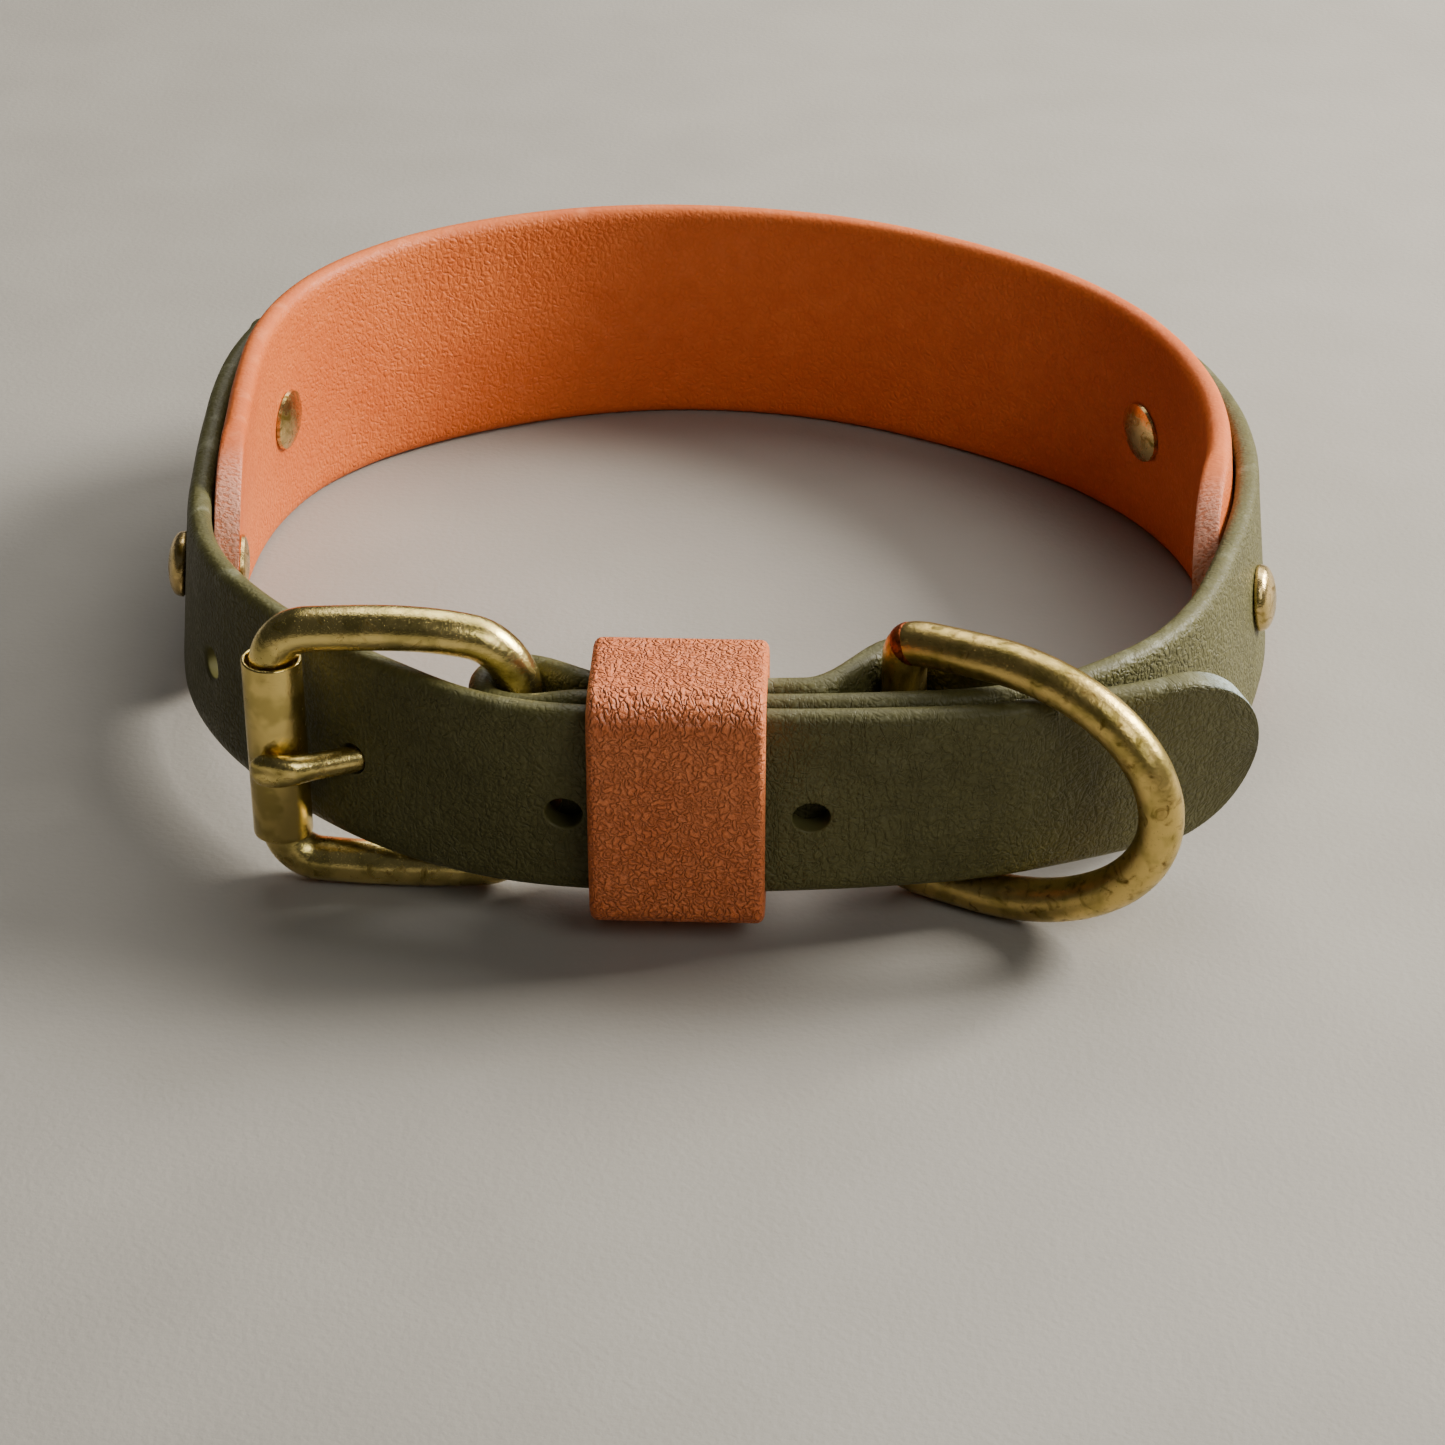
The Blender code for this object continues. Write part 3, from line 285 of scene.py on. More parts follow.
@dataclass
class Layout:
    """The sizes and places that the collar's pieces share."""

    line: RingLine = field(default_factory=RingLine)
    strap_width: float = 0.019
    strap_thickness: float = 0.0024
    panel_width: float = 0.0254
    panel_thickness: float = 0.0025
    edge_radius: float = 0.0009
    layer_gap: float = 0.00025
    free_strap_rise: float = 0.0001
    rivet_angles: tuple[float, float, float, float] = (-17.0, 26.0, 152.6, 189.6)
    hole_drop: float = 0.0011
    hole_spacing: float = 0.0217
    wire: float = 0.0041
    buckle_length: float = 0.0225
    buckle_play: float = 0.0008
    lower_bulge: float = 0.0003
    upper_bulge: float = 0.0009
    bar_drop: float = 0.0021
    bar_clearance: float = 0.00025
    roller_diameter: float = 0.0055
    roller_standoff: float = 0.0003
    prong_hole_share: float = 0.69
    prong_hole_pull: float = 0.0016
    keeper_from_bar: float = 0.0082
    keeper_width: float = 0.0158
    ring_from_keeper: float = 0.0130
    ring_pocket: float = 0.0009
    ring_fold_reach: float = 0.0095
    buckle_fold_reach: float = 0.010
    trim: float = 0.0012
    trim_reach: float = 0.008
    fold_rivet_radius: float = 0.0025
    fold_past_rivet: float = 0.0045
    outer_to_inner_reach: float = 0.0240

    def __post_init__(self) -> None:
        """Works out the places that follow from the sizes."""
        self.bar_radius = self.wire / 2
        self.strap_offset = (self.layer_gap + self.strap_thickness) / 2
        self.panel_offset = (self.layer_gap + self.panel_thickness) / 2
        self.fold_radius = self.bar_radius + self.bar_clearance + self.strap_thickness / 2
        self.layer_step = self.strap_thickness + self.layer_gap
        self.front_middle = self.wire + self.lower_bulge + self.bar_clearance
        self.front_middle += self.strap_width / 2
        self.buckle_height = self.strap_width + self.buckle_play + 2 * self.wire
        self.buckle_height += self.lower_bulge + self.upper_bulge
        self.keeper_at = self.keeper_from_bar + self.keeper_width / 2
        self.ring_at = self.keeper_at + self.keeper_width / 2 + self.ring_from_keeper
        self.ring_rivet_at = self.ring_at + self.ring_fold_reach + self.fold_rivet_radius
        self.free_end_at = self.ring_at + self.ring_fold_reach
        self.inner_from = self.ring_rivet_at + self.fold_past_rivet
        self.outer_from = self.inner_from + self.outer_to_inner_reach
        self.rivets = [self.line.distance_at(angle) for angle in self.rivet_angles]
        self.hole_row = self.line.length - self.buckle_length * self.prong_hole_share
        self.prong_hole = self.hole_row + self.prong_hole_pull

    def shift_to(self, ring_axis: Sequence[float]) -> None:
        """Moves the line so that the D-ring's bar is on the frame's own axis.

        Args:
            ring_axis: Plan position of the D-ring's axis in the frame.
        """
        self.line.shift = self.line.shift + np.array(ring_axis[:2]) - self.ring_bar()

    def bar(self) -> np.ndarray:
        """Plan position of the buckle's bar."""
        place = self.line.place(0.0)
        return place.point - place.out * (self.strap_offset + self.fold_radius)

    def ring_bar(self) -> np.ndarray:
        """Plan position of the D-ring's bar."""
        place = self.line.place(self.ring_at)
        return place.point - place.out * (self.strap_offset + self.fold_radius + self.ring_pocket)

    def roller(self) -> np.ndarray:
        """Plan position of the roller, outside the strap and the buckle's length from the bar.

        Returns:
            The axis in plan, in the frame's own metres.
        """
        upright = self.strap_offset + self.strap_thickness / 2
        upright += self.roller_standoff + self.roller_diameter / 2
        near, far = 0.0, 2 * self.buckle_length
        axis = self.bar()
        for _ in range(40):
            middle = (near + far) / 2
            place = self.line.place(-middle)
            away = upright + self.strap_width / 2 * abs(math.sin(place.lean))
            axis = place.point + place.out * away
            if np.linalg.norm(axis - self.bar()) < self.buckle_length:
                near = middle
            else:
                far = middle
        return axis

    def strap_height(self, place: Place, extra: float = 0.0) -> float:
        """Height of the middle of an olive strap."""
        return mix(self.panel_width / 2, self.front_middle, place.rise) + extra

    def hole_height(self, place: Place, extra: float = 0.0) -> float:
        """Height of the strap's holes."""
        return self.strap_height(place, extra) - self.hole_drop

    def panel_height(self, place: Place) -> float:
        """Height of the middle of the panel, which stands on the ground however it leans.

        Args:
            place: Where along the ring line.

        Returns:
            Metres above the table.
        """
        lean = abs(place.lean)
        upright = (self.panel_width / 2 - self.edge_radius) * math.cos(lean)
        rounding = (self.panel_thickness / 2 - self.edge_radius) * math.sin(lean)
        lift = self.panel_offset * math.sin(place.lean)
        return upright + rounding + self.edge_radius - lift

    def free_rise(self, distance: float) -> float:
        """How far the free strap rides above the buckle strap."""
        return self.free_strap_rise * min(1.0, max(0.0, distance / self.keeper_at))

    def point(self, place: Place, offset: float, height: float) -> np.ndarray:
        """A point at an offset outwards from the line, square to the leaning strap."""
        return np.array([*place.point, height]) + place.leaned() * offset

    def fold_trim(self, distance: float) -> float:
        """How much lower the strap's top edge lies in the fold at the buckle's bar."""
        near = min(1.0, max(0.0, distance) / self.trim_reach)
        return self.trim * math.cos(math.pi / 2 * near) ** 2

    def fold_step(self, distance: float) -> float:
        """Distance from the buckle strap's front layer back to its inner layer.

        Args:
            distance: Metres from the buckle's bar.

        Returns:
            Metres between the middles of the two layers.
        """
        open_step = 2 * self.fold_radius
        at_buckle = min(1.0, abs(distance) / self.buckle_fold_reach)
        at_ring = min(1.0, abs(distance - self.ring_at) / self.ring_fold_reach)
        buckle_bump = (open_step - self.layer_step) * math.cos(math.pi / 2 * at_buckle) ** 2
        ring_bump = open_step + 2 * self.ring_pocket - self.layer_step
        ring_bump *= math.cos(math.pi / 2 * at_ring) ** 2
        return self.layer_step + max(buckle_bump, ring_bump)


# Meshes


def mesh_from(
    name: str, vertices: np.ndarray, faces: list[Sequence[int]], maps: dict[str, list] | None = None
) -> bpy.types.Mesh:
    """Makes a smooth-shaded mesh whose faces look outwards.

    Args:
        name: The mesh's name.
        vertices: Points, one a row.
        faces: Vertex numbers of each face.
        maps: UV values of each face's corners, by map name.

    Returns:
        The new mesh.
    """
    volume = 0.0
    for face in faces:
        first = vertices[face[0]]
        for k in range(1, len(face) - 1):
            volume += float(np.dot(first, np.cross(vertices[face[k]], vertices[face[k + 1]])))
    turned = volume < 0
    order = [list(reversed(face)) if turned else list(face) for face in faces]
    mesh = bpy.data.meshes.new(name)
    mesh.from_pydata([tuple(v) for v in vertices], [], order)
    for map_name, corners in (maps or {}).items():
        layer = mesh.uv_layers.new(name=map_name)
        flat: list[float] = []
        for face_corners in corners:
            for corner in reversed(face_corners) if turned else face_corners:
                flat += [float(corner[0]), float(corner[1])]
        layer.data.foreach_set("uv", flat)
    mesh.validate()
    mesh.shade_smooth()
    mesh.set_sharp_from_angle(angle=math.radians(SHARP_ANGLE))
    return mesh


def loft(
    name: str,
    rings: np.ndarray,
    lay: np.ndarray | None = None,
    edge: np.ndarray | None = None,
    closed: bool = False,
) -> bpy.types.Mesh:
    """Joins rings of as many points each into a closed surface.

    Args:
        name: The mesh's name.
        rings: Points, as ring by point by axis.
        lay: The lay map, as ring by point by two, with one point more than the rings have.
        edge: The edge map, shaped as the lay map.
        closed: Whether the last ring joins the first; the ends are capped otherwise.

    Returns:
        The new mesh.
    """
    count, around = rings.shape[0], rings.shape[1]
    spans = count if closed else count - 1
    faces: list[Sequence[int]] = []
    maps: dict[str, list] = {LAY_MAP: [], EDGE_MAP: []}
    given = {LAY_MAP: lay, EDGE_MAP: edge}
    for i in range(spans):
        j = (i + 1) % count
        for k in range(around):
            following = (k + 1) % around
            faces.append(
                (i * around + k, i * around + following, j * around + following, j * around + k)
            )
            for map_name, values in given.items():
                if values is not None:
                    far = i + 1 if closed and len(values) > count else j
                    corners = (values[i][k], values[i][k + 1], values[far][k + 1], values[far][k])
                    maps[map_name].append(corners)
    if not closed:
        for i in (0, count - 1):
            faces.append([i * around + k for k in range(around)])
            if lay is not None:
                maps[LAY_MAP].append([lay[i][k] for k in range(around)])
            if edge is not None:
                maps[EDGE_MAP].append([(1.0, 0.0)] * around)
    used = {key: value for key, value in maps.items() if given[key] is not None}
    return mesh_from(name, rings.reshape(-1, 3), faces, used)


def lathe(
    name: str, profile: Sequence[tuple[float, float]], segments: int = 48, closed: bool = False
) -> bpy.types.Mesh:
    """Turns a profile into a round body about Z.

    Args:
        name: The mesh's name.
        profile: Radius and height of each point.
        segments: Faces around.
        closed: Whether the profile is a closed loop, as for a tube.

    Returns:
        The new mesh.
    """
    turns = np.linspace(0, 2 * math.pi, segments, endpoint=False)
    rings = np.array(
        [[(r * math.cos(a), r * math.sin(a), z) for a in turns] for r, z in profile]
    )
    return loft(name, rings, closed=closed)


def upsample(points: np.ndarray, times: int, closed: bool) -> np.ndarray:
    """A finer run of points on the smooth curve through them.

    Args:
        points: The points, one a row.
        times: New points for each old one.
        closed: Whether the curve closes up.

    Returns:
        The finer points.
    """
    count = len(points)
    fine = []
    for i in range(count if closed else count - 1):
        if closed:
            four = [points[(i + k) % count] for k in (-1, 0, 1, 2)]
        else:
            four = [points[min(max(i + k, 0), count - 1)] for k in (-1, 0, 1, 2)]
        before, first, second, after = four
        gap = max(1e-9, float(np.linalg.norm((second - first)[:3])))
        lead = max(1e-9, float(np.linalg.norm((first - before)[:3])))
        trail = max(1e-9, float(np.linalg.norm((after - second)[:3])))
        if lead < 1e-8:
            lead = gap
        if trail < 1e-8:
            trail = gap
        slope = ((second - first) / gap * lead + (first - before) / lead * gap) / (lead + gap)
        slope_after = (after - second) / trail * gap + (second - first) / gap * trail
        slope_after = slope_after / (gap + trail)
        for k in range(times):
            t = k / times
            row = (2 * t**3 - 3 * t**2 + 1) * first + (t**3 - 2 * t**2 + t) * gap * slope
            row = row + (3 * t**2 - 2 * t**3) * second + (t**3 - t**2) * gap * slope_after
            fine.append(row)
    if not closed:
        fine.append(points[-1])
    return np.array(fine)


def wire_mesh(
    name: str, rows: np.ndarray, closed: bool, sides: int = 32, worn: float = 0.00002
) -> bpy.types.Mesh:
    """Sweeps an oval wire along points, with a trace of hand-worked unevenness.

    Args:
        name: The mesh's name.
        rows: Each point's place, its half width along the level direction and its half height.
        closed: Whether the wire closes up.
        sides: Points around the wire.
        worn: How far its surface strays, in metres.

    Returns:
        The new mesh.
    """
    places = rows[:, :3]
    if closed:
        runs = np.roll(places, -1, axis=0) - np.roll(places, 1, axis=0)
    else:
        runs = np.gradient(places, axis=0)
    runs = runs / np.linalg.norm(runs, axis=1)[:, None]
    first = Vector(runs[0])
    side = first.cross(Vector((0.0, 0.0, 1.0)))
    if side.length < 0.2:
        side = first.cross(Vector((0.0, 1.0, 0.0)))
    side.normalize()
    sides_at = []
    before = first
    for run in runs:
        now = Vector(run)
        side = before.rotation_difference(now) @ side
        side = (side - now * side.dot(now)).normalized()
        sides_at.append(side.copy())
        before = now
    twist = 0.0
    if closed:
        end = Vector(runs[-1]).rotation_difference(Vector(runs[0])) @ sides_at[-1]
        start = sides_at[0]
        twist = math.atan2(end.cross(start).dot(Vector(runs[0])), end.dot(start))
    turns = np.linspace(0, 2 * math.pi, sides, endpoint=False)
    rings = []
    for i, (row, run) in enumerate(zip(rows, runs)):
        now = Vector(run)
        across = sides_at[i].copy()
        across.rotate(Matrix.Rotation(twist * i / len(rows), 3, now))
        up = now.cross(across)
        ring = []
        for turn in turns:
            direction = across * math.cos(turn) + up * math.sin(turn)
            lift = direction.z**2
            reach = mix(row[3], row[4], lift)
            spot = Vector(row[:3]) + direction * reach
            reach += worn * noise.noise(spot * WORN_WAVES)
            ring.append(Vector(row[:3]) + direction * reach)
        rings.append(ring)
    return loft(name, np.array(rings, dtype=float), closed=closed)


def facing(point: Sequence[float], direction: Sequence[float]) -> Matrix:
    """A placement at a point whose local +Z faces one way and whose local +Y is near up.

    Args:
        point: Where the local origin goes.
        direction: The way that local +Z faces.

    Returns:
        The placement.
    """
    z_axis = Vector(tuple(direction)).normalized()
    x_axis = Vector((0.0, 0.0, 1.0)).cross(z_axis).normalized()
    matrix = Matrix((x_axis, z_axis.cross(x_axis), z_axis)).transposed().to_4x4()
    matrix.translation = Vector(tuple(point))
    return matrix


def piece(name: str, mesh: bpy.types.Mesh, material: bpy.types.Material) -> bpy.types.Object:
    """A new object of the scene with its material.

    Args:
        name: The object's name.
        mesh: Its mesh.
        material: Its one material.

    Returns:
        The object, linked to the scene.
    """
    obj = bpy.data.objects.new(name, mesh)
    bpy.context.scene.collection.objects.link(obj)
    mesh.materials.append(material)
    return obj


def settle(
    obj: bpy.types.Object, body: Body, slot: Slot, *nodes: str
) -> bpy.types.Object:
    """Hands a finished piece to the frame.

    Args:
        obj: The piece.
        body: The body that it rides on.
        slot: A material slot of the record; not used.
        *nodes: The CAD nodes that it stands for.

    Returns:
        The piece.
    """
    if nodes:
        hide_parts(*nodes)
    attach(obj, body.value)
    LOG.info("%s: %d faces, on %s", obj.name, len(obj.data.polygons), body.value)
    return obj


def carve(obj: bpy.types.Object, cutters: Sequence[bpy.types.Object]) -> None:
    """Takes the cutters' shapes out of a piece and removes them.

    Args:
        obj: The piece to cut.
        cutters: Closed helper objects.
    """
    for cutter in cutters:
        modifier = obj.modifiers.new(cutter.name, "BOOLEAN")
        modifier.operation = "DIFFERENCE"
        modifier.solver = "EXACT"
        modifier.object = cutter
    bpy.context.view_layer.update()
    graph = bpy.context.evaluated_depsgraph_get()
    mesh = bpy.data.meshes.new_from_object(obj.evaluated_get(graph))
    obj.modifiers.clear()
    old = obj.data
    obj.data = mesh
    mesh.name = old.name + "_cut"
    bpy.data.meshes.remove(old)
    for cutter in cutters:
        data = cutter.data
        bpy.data.objects.remove(cutter)
        bpy.data.meshes.remove(data)
    mesh.shade_smooth()
    mesh.set_sharp_from_angle(angle=math.radians(SHARP_ANGLE))


@dataclass(frozen=True)
class Station:
    """One cross-section of a strap."""

    middle: np.ndarray
    out: np.ndarray
    lean: float
    run: float
    share: float = 1.0
    cut: float = 0.0


@dataclass(frozen=True)
class Webbing:
    """The cross-section of a coated strap: flat faces, rolled long edges, square cut ends.

    Args:
        width: Across the strap.
        thickness: Through the strap.
        roll: How far the rolled edge reaches in from the side.
        rows: Faces across each flat side.
        turns: Faces around a quarter of a rolled edge.
        ripple: How far the faces stray from flat.
    """

    width: float
    thickness: float
    roll: float = 0.0017
    rows: int = 12
    turns: int = 5
    ripple: float = 0.00005

    def outline(self, share: float, cut: float) -> tuple[np.ndarray, np.ndarray]:
        """The cross-section's points.

        Args:
            share: Its width as a share of the strap's.
            cut: 1 where the long edges are cut square, 0 where they are rolled.

        Returns:
            Points as across and up, and how far each is on a rolled edge.
        """
        half = self.thickness / 2
        side = self.width * share / 2
        roll = min(mix(self.roll, 0.00025, cut), 0.9 * side)
        power = 2 / mix(2.5, 5.0, cut)
        flat = np.linspace(-(side - roll), side - roll, self.rows + 1)
        turns = np.linspace(0, math.pi, 2 * self.turns + 1)[1:-1]
        cosines, sines = np.cos(turns), np.sin(turns)
        across = half * np.sign(cosines) * np.abs(cosines) ** power
        up = side - roll + roll * np.abs(sines) ** power
        points = [(half, b) for b in flat]
        points += list(zip(across, up))
        points += [(-half, b) for b in flat[::-1]]
        points += list(zip(-across, -up))
        rolled = [0.0] * len(flat) + list(sines) + [0.0] * len(flat) + list(sines)
        return np.array(points), np.array(rolled)

    def mesh(self, name: str, stations: Sequence[Station]) -> bpy.types.Mesh:
        """The strap's mesh through its stations.

        Args:
            name: The mesh's name.
            stations: Cross-sections from one end to the other.

        Returns:
            The mesh, with its lay and edge maps.
        """
        rings, lays, edges = [], [], []
        around = None
        for station in stations:
            points, rolled = self.outline(station.share, station.cut)
            if around is None:
                full, _ = self.outline(1.0, 0.0)
                steps = np.linalg.norm(np.roll(full, -1, axis=0) - full, axis=1)
                around = np.concatenate([[0.0], np.cumsum(steps)])
            cosine, sine = math.cos(station.lean), math.sin(station.lean)
            out = np.array([station.out[0] * cosine, station.out[1] * cosine, -sine])
            up = np.array([station.out[0] * sine, station.out[1] * sine, cosine])
            ring = []
            for across, high in points:
                run_waves, high_waves = station.run * RIPPLE_WAVES, high * RIPPLE_WAVES
                spot = Vector((run_waves, high_waves, math.copysign(3.0, across)))
                wave = self.ripple * noise.noise(spot) * math.copysign(1.0, across)
                ring.append(station.middle + out * (across + wave) + up * high)
            rings.append(ring)
            lays.append([(station.run, a) for a in around])
            loop = list(rolled) + [rolled[0]]
            edges.append([(station.cut * min(1.0, 3 * r), r) for r in loop])
        return loft(name, np.array(rings), np.array(lays), np.array(edges))


def end_stops(corner: float, count: int = 18) -> list[float]:
    """Distances from a rounded end at which its outline is sampled, nearest first."""
    return [corner * (1 - math.cos(math.pi / 2 * (k + 0.04) / count)) for k in range(count)]


def rounded_share(from_end: float, corner: float, width: float) -> float:
    """Share of the full width at a distance from a strap's end with rounded corners.

    Args:
        from_end: Metres from the strap's end.
        corner: Radius of the end's corners.
        width: The strap's full width.

    Returns:
        The share, 1 past the corners.
    """
    if from_end >= corner:
        return 1.0
    inset = corner - math.sqrt(max(0.0, corner**2 - (corner - from_end) ** 2))
    return 1.0 - 2 * inset / width


def cut_share(from_end: float, corner: float) -> float:
    """How far the long edges are cut rather than rolled, at a distance from a strap's end."""
    return float(np.clip(1.15 - from_end / corner, 0.0, 1.0)) ** 0.5


def spread(first: float, last: float, spacing: float) -> list[float]:
    """Even distances from first to last, both included."""
    count = max(2, int(round(abs(last - first) / spacing)) + 1)
    return list(np.linspace(first, last, count))


def hole_cutter(
    radius: float, thickness: float, flare: float, stretch: float, matrix: Matrix
) -> bpy.types.Object:
    """A helper that punches a hole with softly rounded rims.

    Args:
        radius: Half the hole's height.
        thickness: Of the strap that it goes through.
        flare: Radius of the rounded rims.
        stretch: The hole's length over its height.
        matrix: Placement, with local Z through the strap.

    Returns:
        The helper object.
    """
    half = thickness / 2
    upper = []
    for k in range(6):
        turn = math.pi / 2 * k / 5
        upper.append((radius + flare * (1 - math.cos(turn)), half - flare + flare * math.sin(turn)))
    upper.append((radius + flare * 1.3, half + CUT_PAST))
    profile = [(AXIS_RADIUS, -half - CUT_PAST)] + [(r, -z) for r, z in reversed(upper)]
    profile += upper + [(AXIS_RADIUS, half + CUT_PAST)]
    mesh = lathe("hole_cutter", profile, 40)
    corners = mesh.uv_layers.new(name=LAY_MAP), mesh.uv_layers.new(name=EDGE_MAP)
    count = len(mesh.loops)
    corners[0].data.foreach_set("uv", [CUT_WALL_LAY] * (2 * count))
    corners[1].data.foreach_set("uv", [0.0, 0.0] * count)
    mesh.transform(Matrix.Diagonal((stretch, 1.0, 1.0, 1.0)))
    cutter = bpy.data.objects.new("hole_cutter", mesh)
    bpy.context.scene.collection.objects.link(cutter)
    cutter.matrix_world = matrix
    return cutter


# Finishes


class Graph:
    """Adds nodes to a node tree and joins them."""

    def __init__(self, tree: bpy.types.NodeTree) -> None:
        """Keeps the tree that the nodes go into."""
        self.tree = tree

    def add(self, kind: str, **settings: object) -> bpy.types.Node:
        """A new node with its settings.

        Args:
            kind: The node's type.
            **settings: Its properties by name.

        Returns:
            The node.
        """
        node = self.tree.nodes.new(kind)
        for key, value in settings.items():
            setattr(node, key, value)
        return node

    def feed(self, socket: bpy.types.NodeSocket, value: object) -> None:
        """Joins an output to a socket, or sets the socket's own value."""
        if isinstance(value, bpy.types.NodeSocket):
            self.tree.links.new(value, socket)
        else:
            socket.default_value = value

    def math(
        self, operation: str, first: object, second: object = 0.0, clamp: bool = False
    ) -> bpy.types.NodeSocket:
        """The output of a Math node.

        Args:
            operation: What the node does.
            first: A value or an output.
            second: A value or an output.
            clamp: Whether the result stays between 0 and 1.

        Returns:
            The result's socket.
        """
        node = self.add("ShaderNodeMath", operation=operation, use_clamp=clamp)
        self.feed(node.inputs[0], first)
        self.feed(node.inputs[1], second)
        return node.outputs[0]

    def span(
        self, value: object, low: float, high: float, out_low: float, out_high: float
    ) -> bpy.types.NodeSocket:
        """The output of a clamped smooth Map Range node.

        Args:
            value: The value to map.
            low: Where the range starts.
            high: Where it ends.
            out_low: The result at the start.
            out_high: The result at the end.

        Returns:
            The result's socket.
        """
        node = self.add("ShaderNodeMapRange", interpolation_type="SMOOTHSTEP")
        for key, given in enumerate((value, low, high, out_low, out_high)):
            self.feed(node.inputs[key], given)
        return node.outputs[0]

    def blend(
        self, share: object, first: object, second: object, kind: str = "MIX"
    ) -> bpy.types.NodeSocket:
        """The output of a colour Mix node.

        Args:
            share: How much of the second colour shows.
            first: The first colour.
            second: The second colour.
            kind: The way of blending.

        Returns:
            The result's socket.
        """
        node = self.add("ShaderNodeMix", data_type="RGBA", blend_type=kind)
        self.feed(node.inputs[0], share)
        self.feed(node.inputs[6], first)
        self.feed(node.inputs[7], second)
        return node.outputs[2]

    def noise(
        self, vector: object, scale: object, detail: float = 3.0, warp: float = 0.0
    ) -> bpy.types.NodeSocket:
        """The value output of a Noise Texture.

        Args:
            vector: Where the noise is read.
            scale: Its frequency.
            detail: Its finer layers.
            warp: Its distortion.

        Returns:
            The result's socket.
        """
        node = self.add("ShaderNodeTexNoise")
        self.feed(node.inputs["Vector"], vector)
        self.feed(node.inputs["Scale"], scale)
        self.feed(node.inputs["Detail"], detail)
        self.feed(node.inputs["Distortion"], warp)
        return node.outputs["Fac"]

    def cells(self, vector: object, scale: object) -> bpy.types.NodeSocket:
        """The distance to the edge of a Voronoi Texture's cells.

        Args:
            vector: Where the cells are read.
            scale: Their frequency.

        Returns:
            The result's socket.
        """
        node = self.add("ShaderNodeTexVoronoi", feature="DISTANCE_TO_EDGE")
        self.feed(node.inputs["Vector"], vector)
        self.feed(node.inputs["Scale"], scale)
        return node.outputs["Distance"]

    def stretched(self, vector: object, along: object, up: object) -> bpy.types.NodeSocket:
        """The vector with its first two parts multiplied.

        Args:
            vector: The vector.
            along: Factor of its first part.
            up: Factor of its second part.

        Returns:
            The stretched vector's socket.
        """
        parts = self.add("ShaderNodeSeparateXYZ")
        self.feed(parts.inputs[0], vector)
        joined = self.add("ShaderNodeCombineXYZ")
        self.feed(joined.inputs[0], self.math("MULTIPLY", parts.outputs[0], along))
        self.feed(joined.inputs[1], self.math("MULTIPLY", parts.outputs[1], up))
        self.feed(joined.inputs[2], parts.outputs[2])
        return joined.outputs[0]


def new_group(
    name: str, inputs: dict[str, tuple[str, float]], outputs: Sequence[str]
) -> tuple[bpy.types.NodeTree, Graph, dict, dict]:
    """A shader node group with named sockets.

    Args:
        name: The group's name.
        inputs: Socket type, Vector or Float, and default value by name.
        outputs: Names of the value outputs.

    Returns:
        The group, its graph, its input sockets by name and its output sockets by name.
    """
    tree = bpy.data.node_groups.new(name, "ShaderNodeTree")
    for key, (kind, value) in inputs.items():
        socket = tree.interface.new_socket(
            name=key, in_out="INPUT", socket_type="NodeSocket" + kind
        )
        if kind == "Float":
            socket.default_value = value
    for key in outputs:
        tree.interface.new_socket(name=key, in_out="OUTPUT", socket_type="NodeSocketFloat")
    graph = Graph(tree)
    given = graph.add("NodeGroupInput").outputs
    taken = graph.add("NodeGroupOutput").inputs
    return tree, graph, {key: given[key] for key in inputs}, {key: taken[key] for key in outputs}


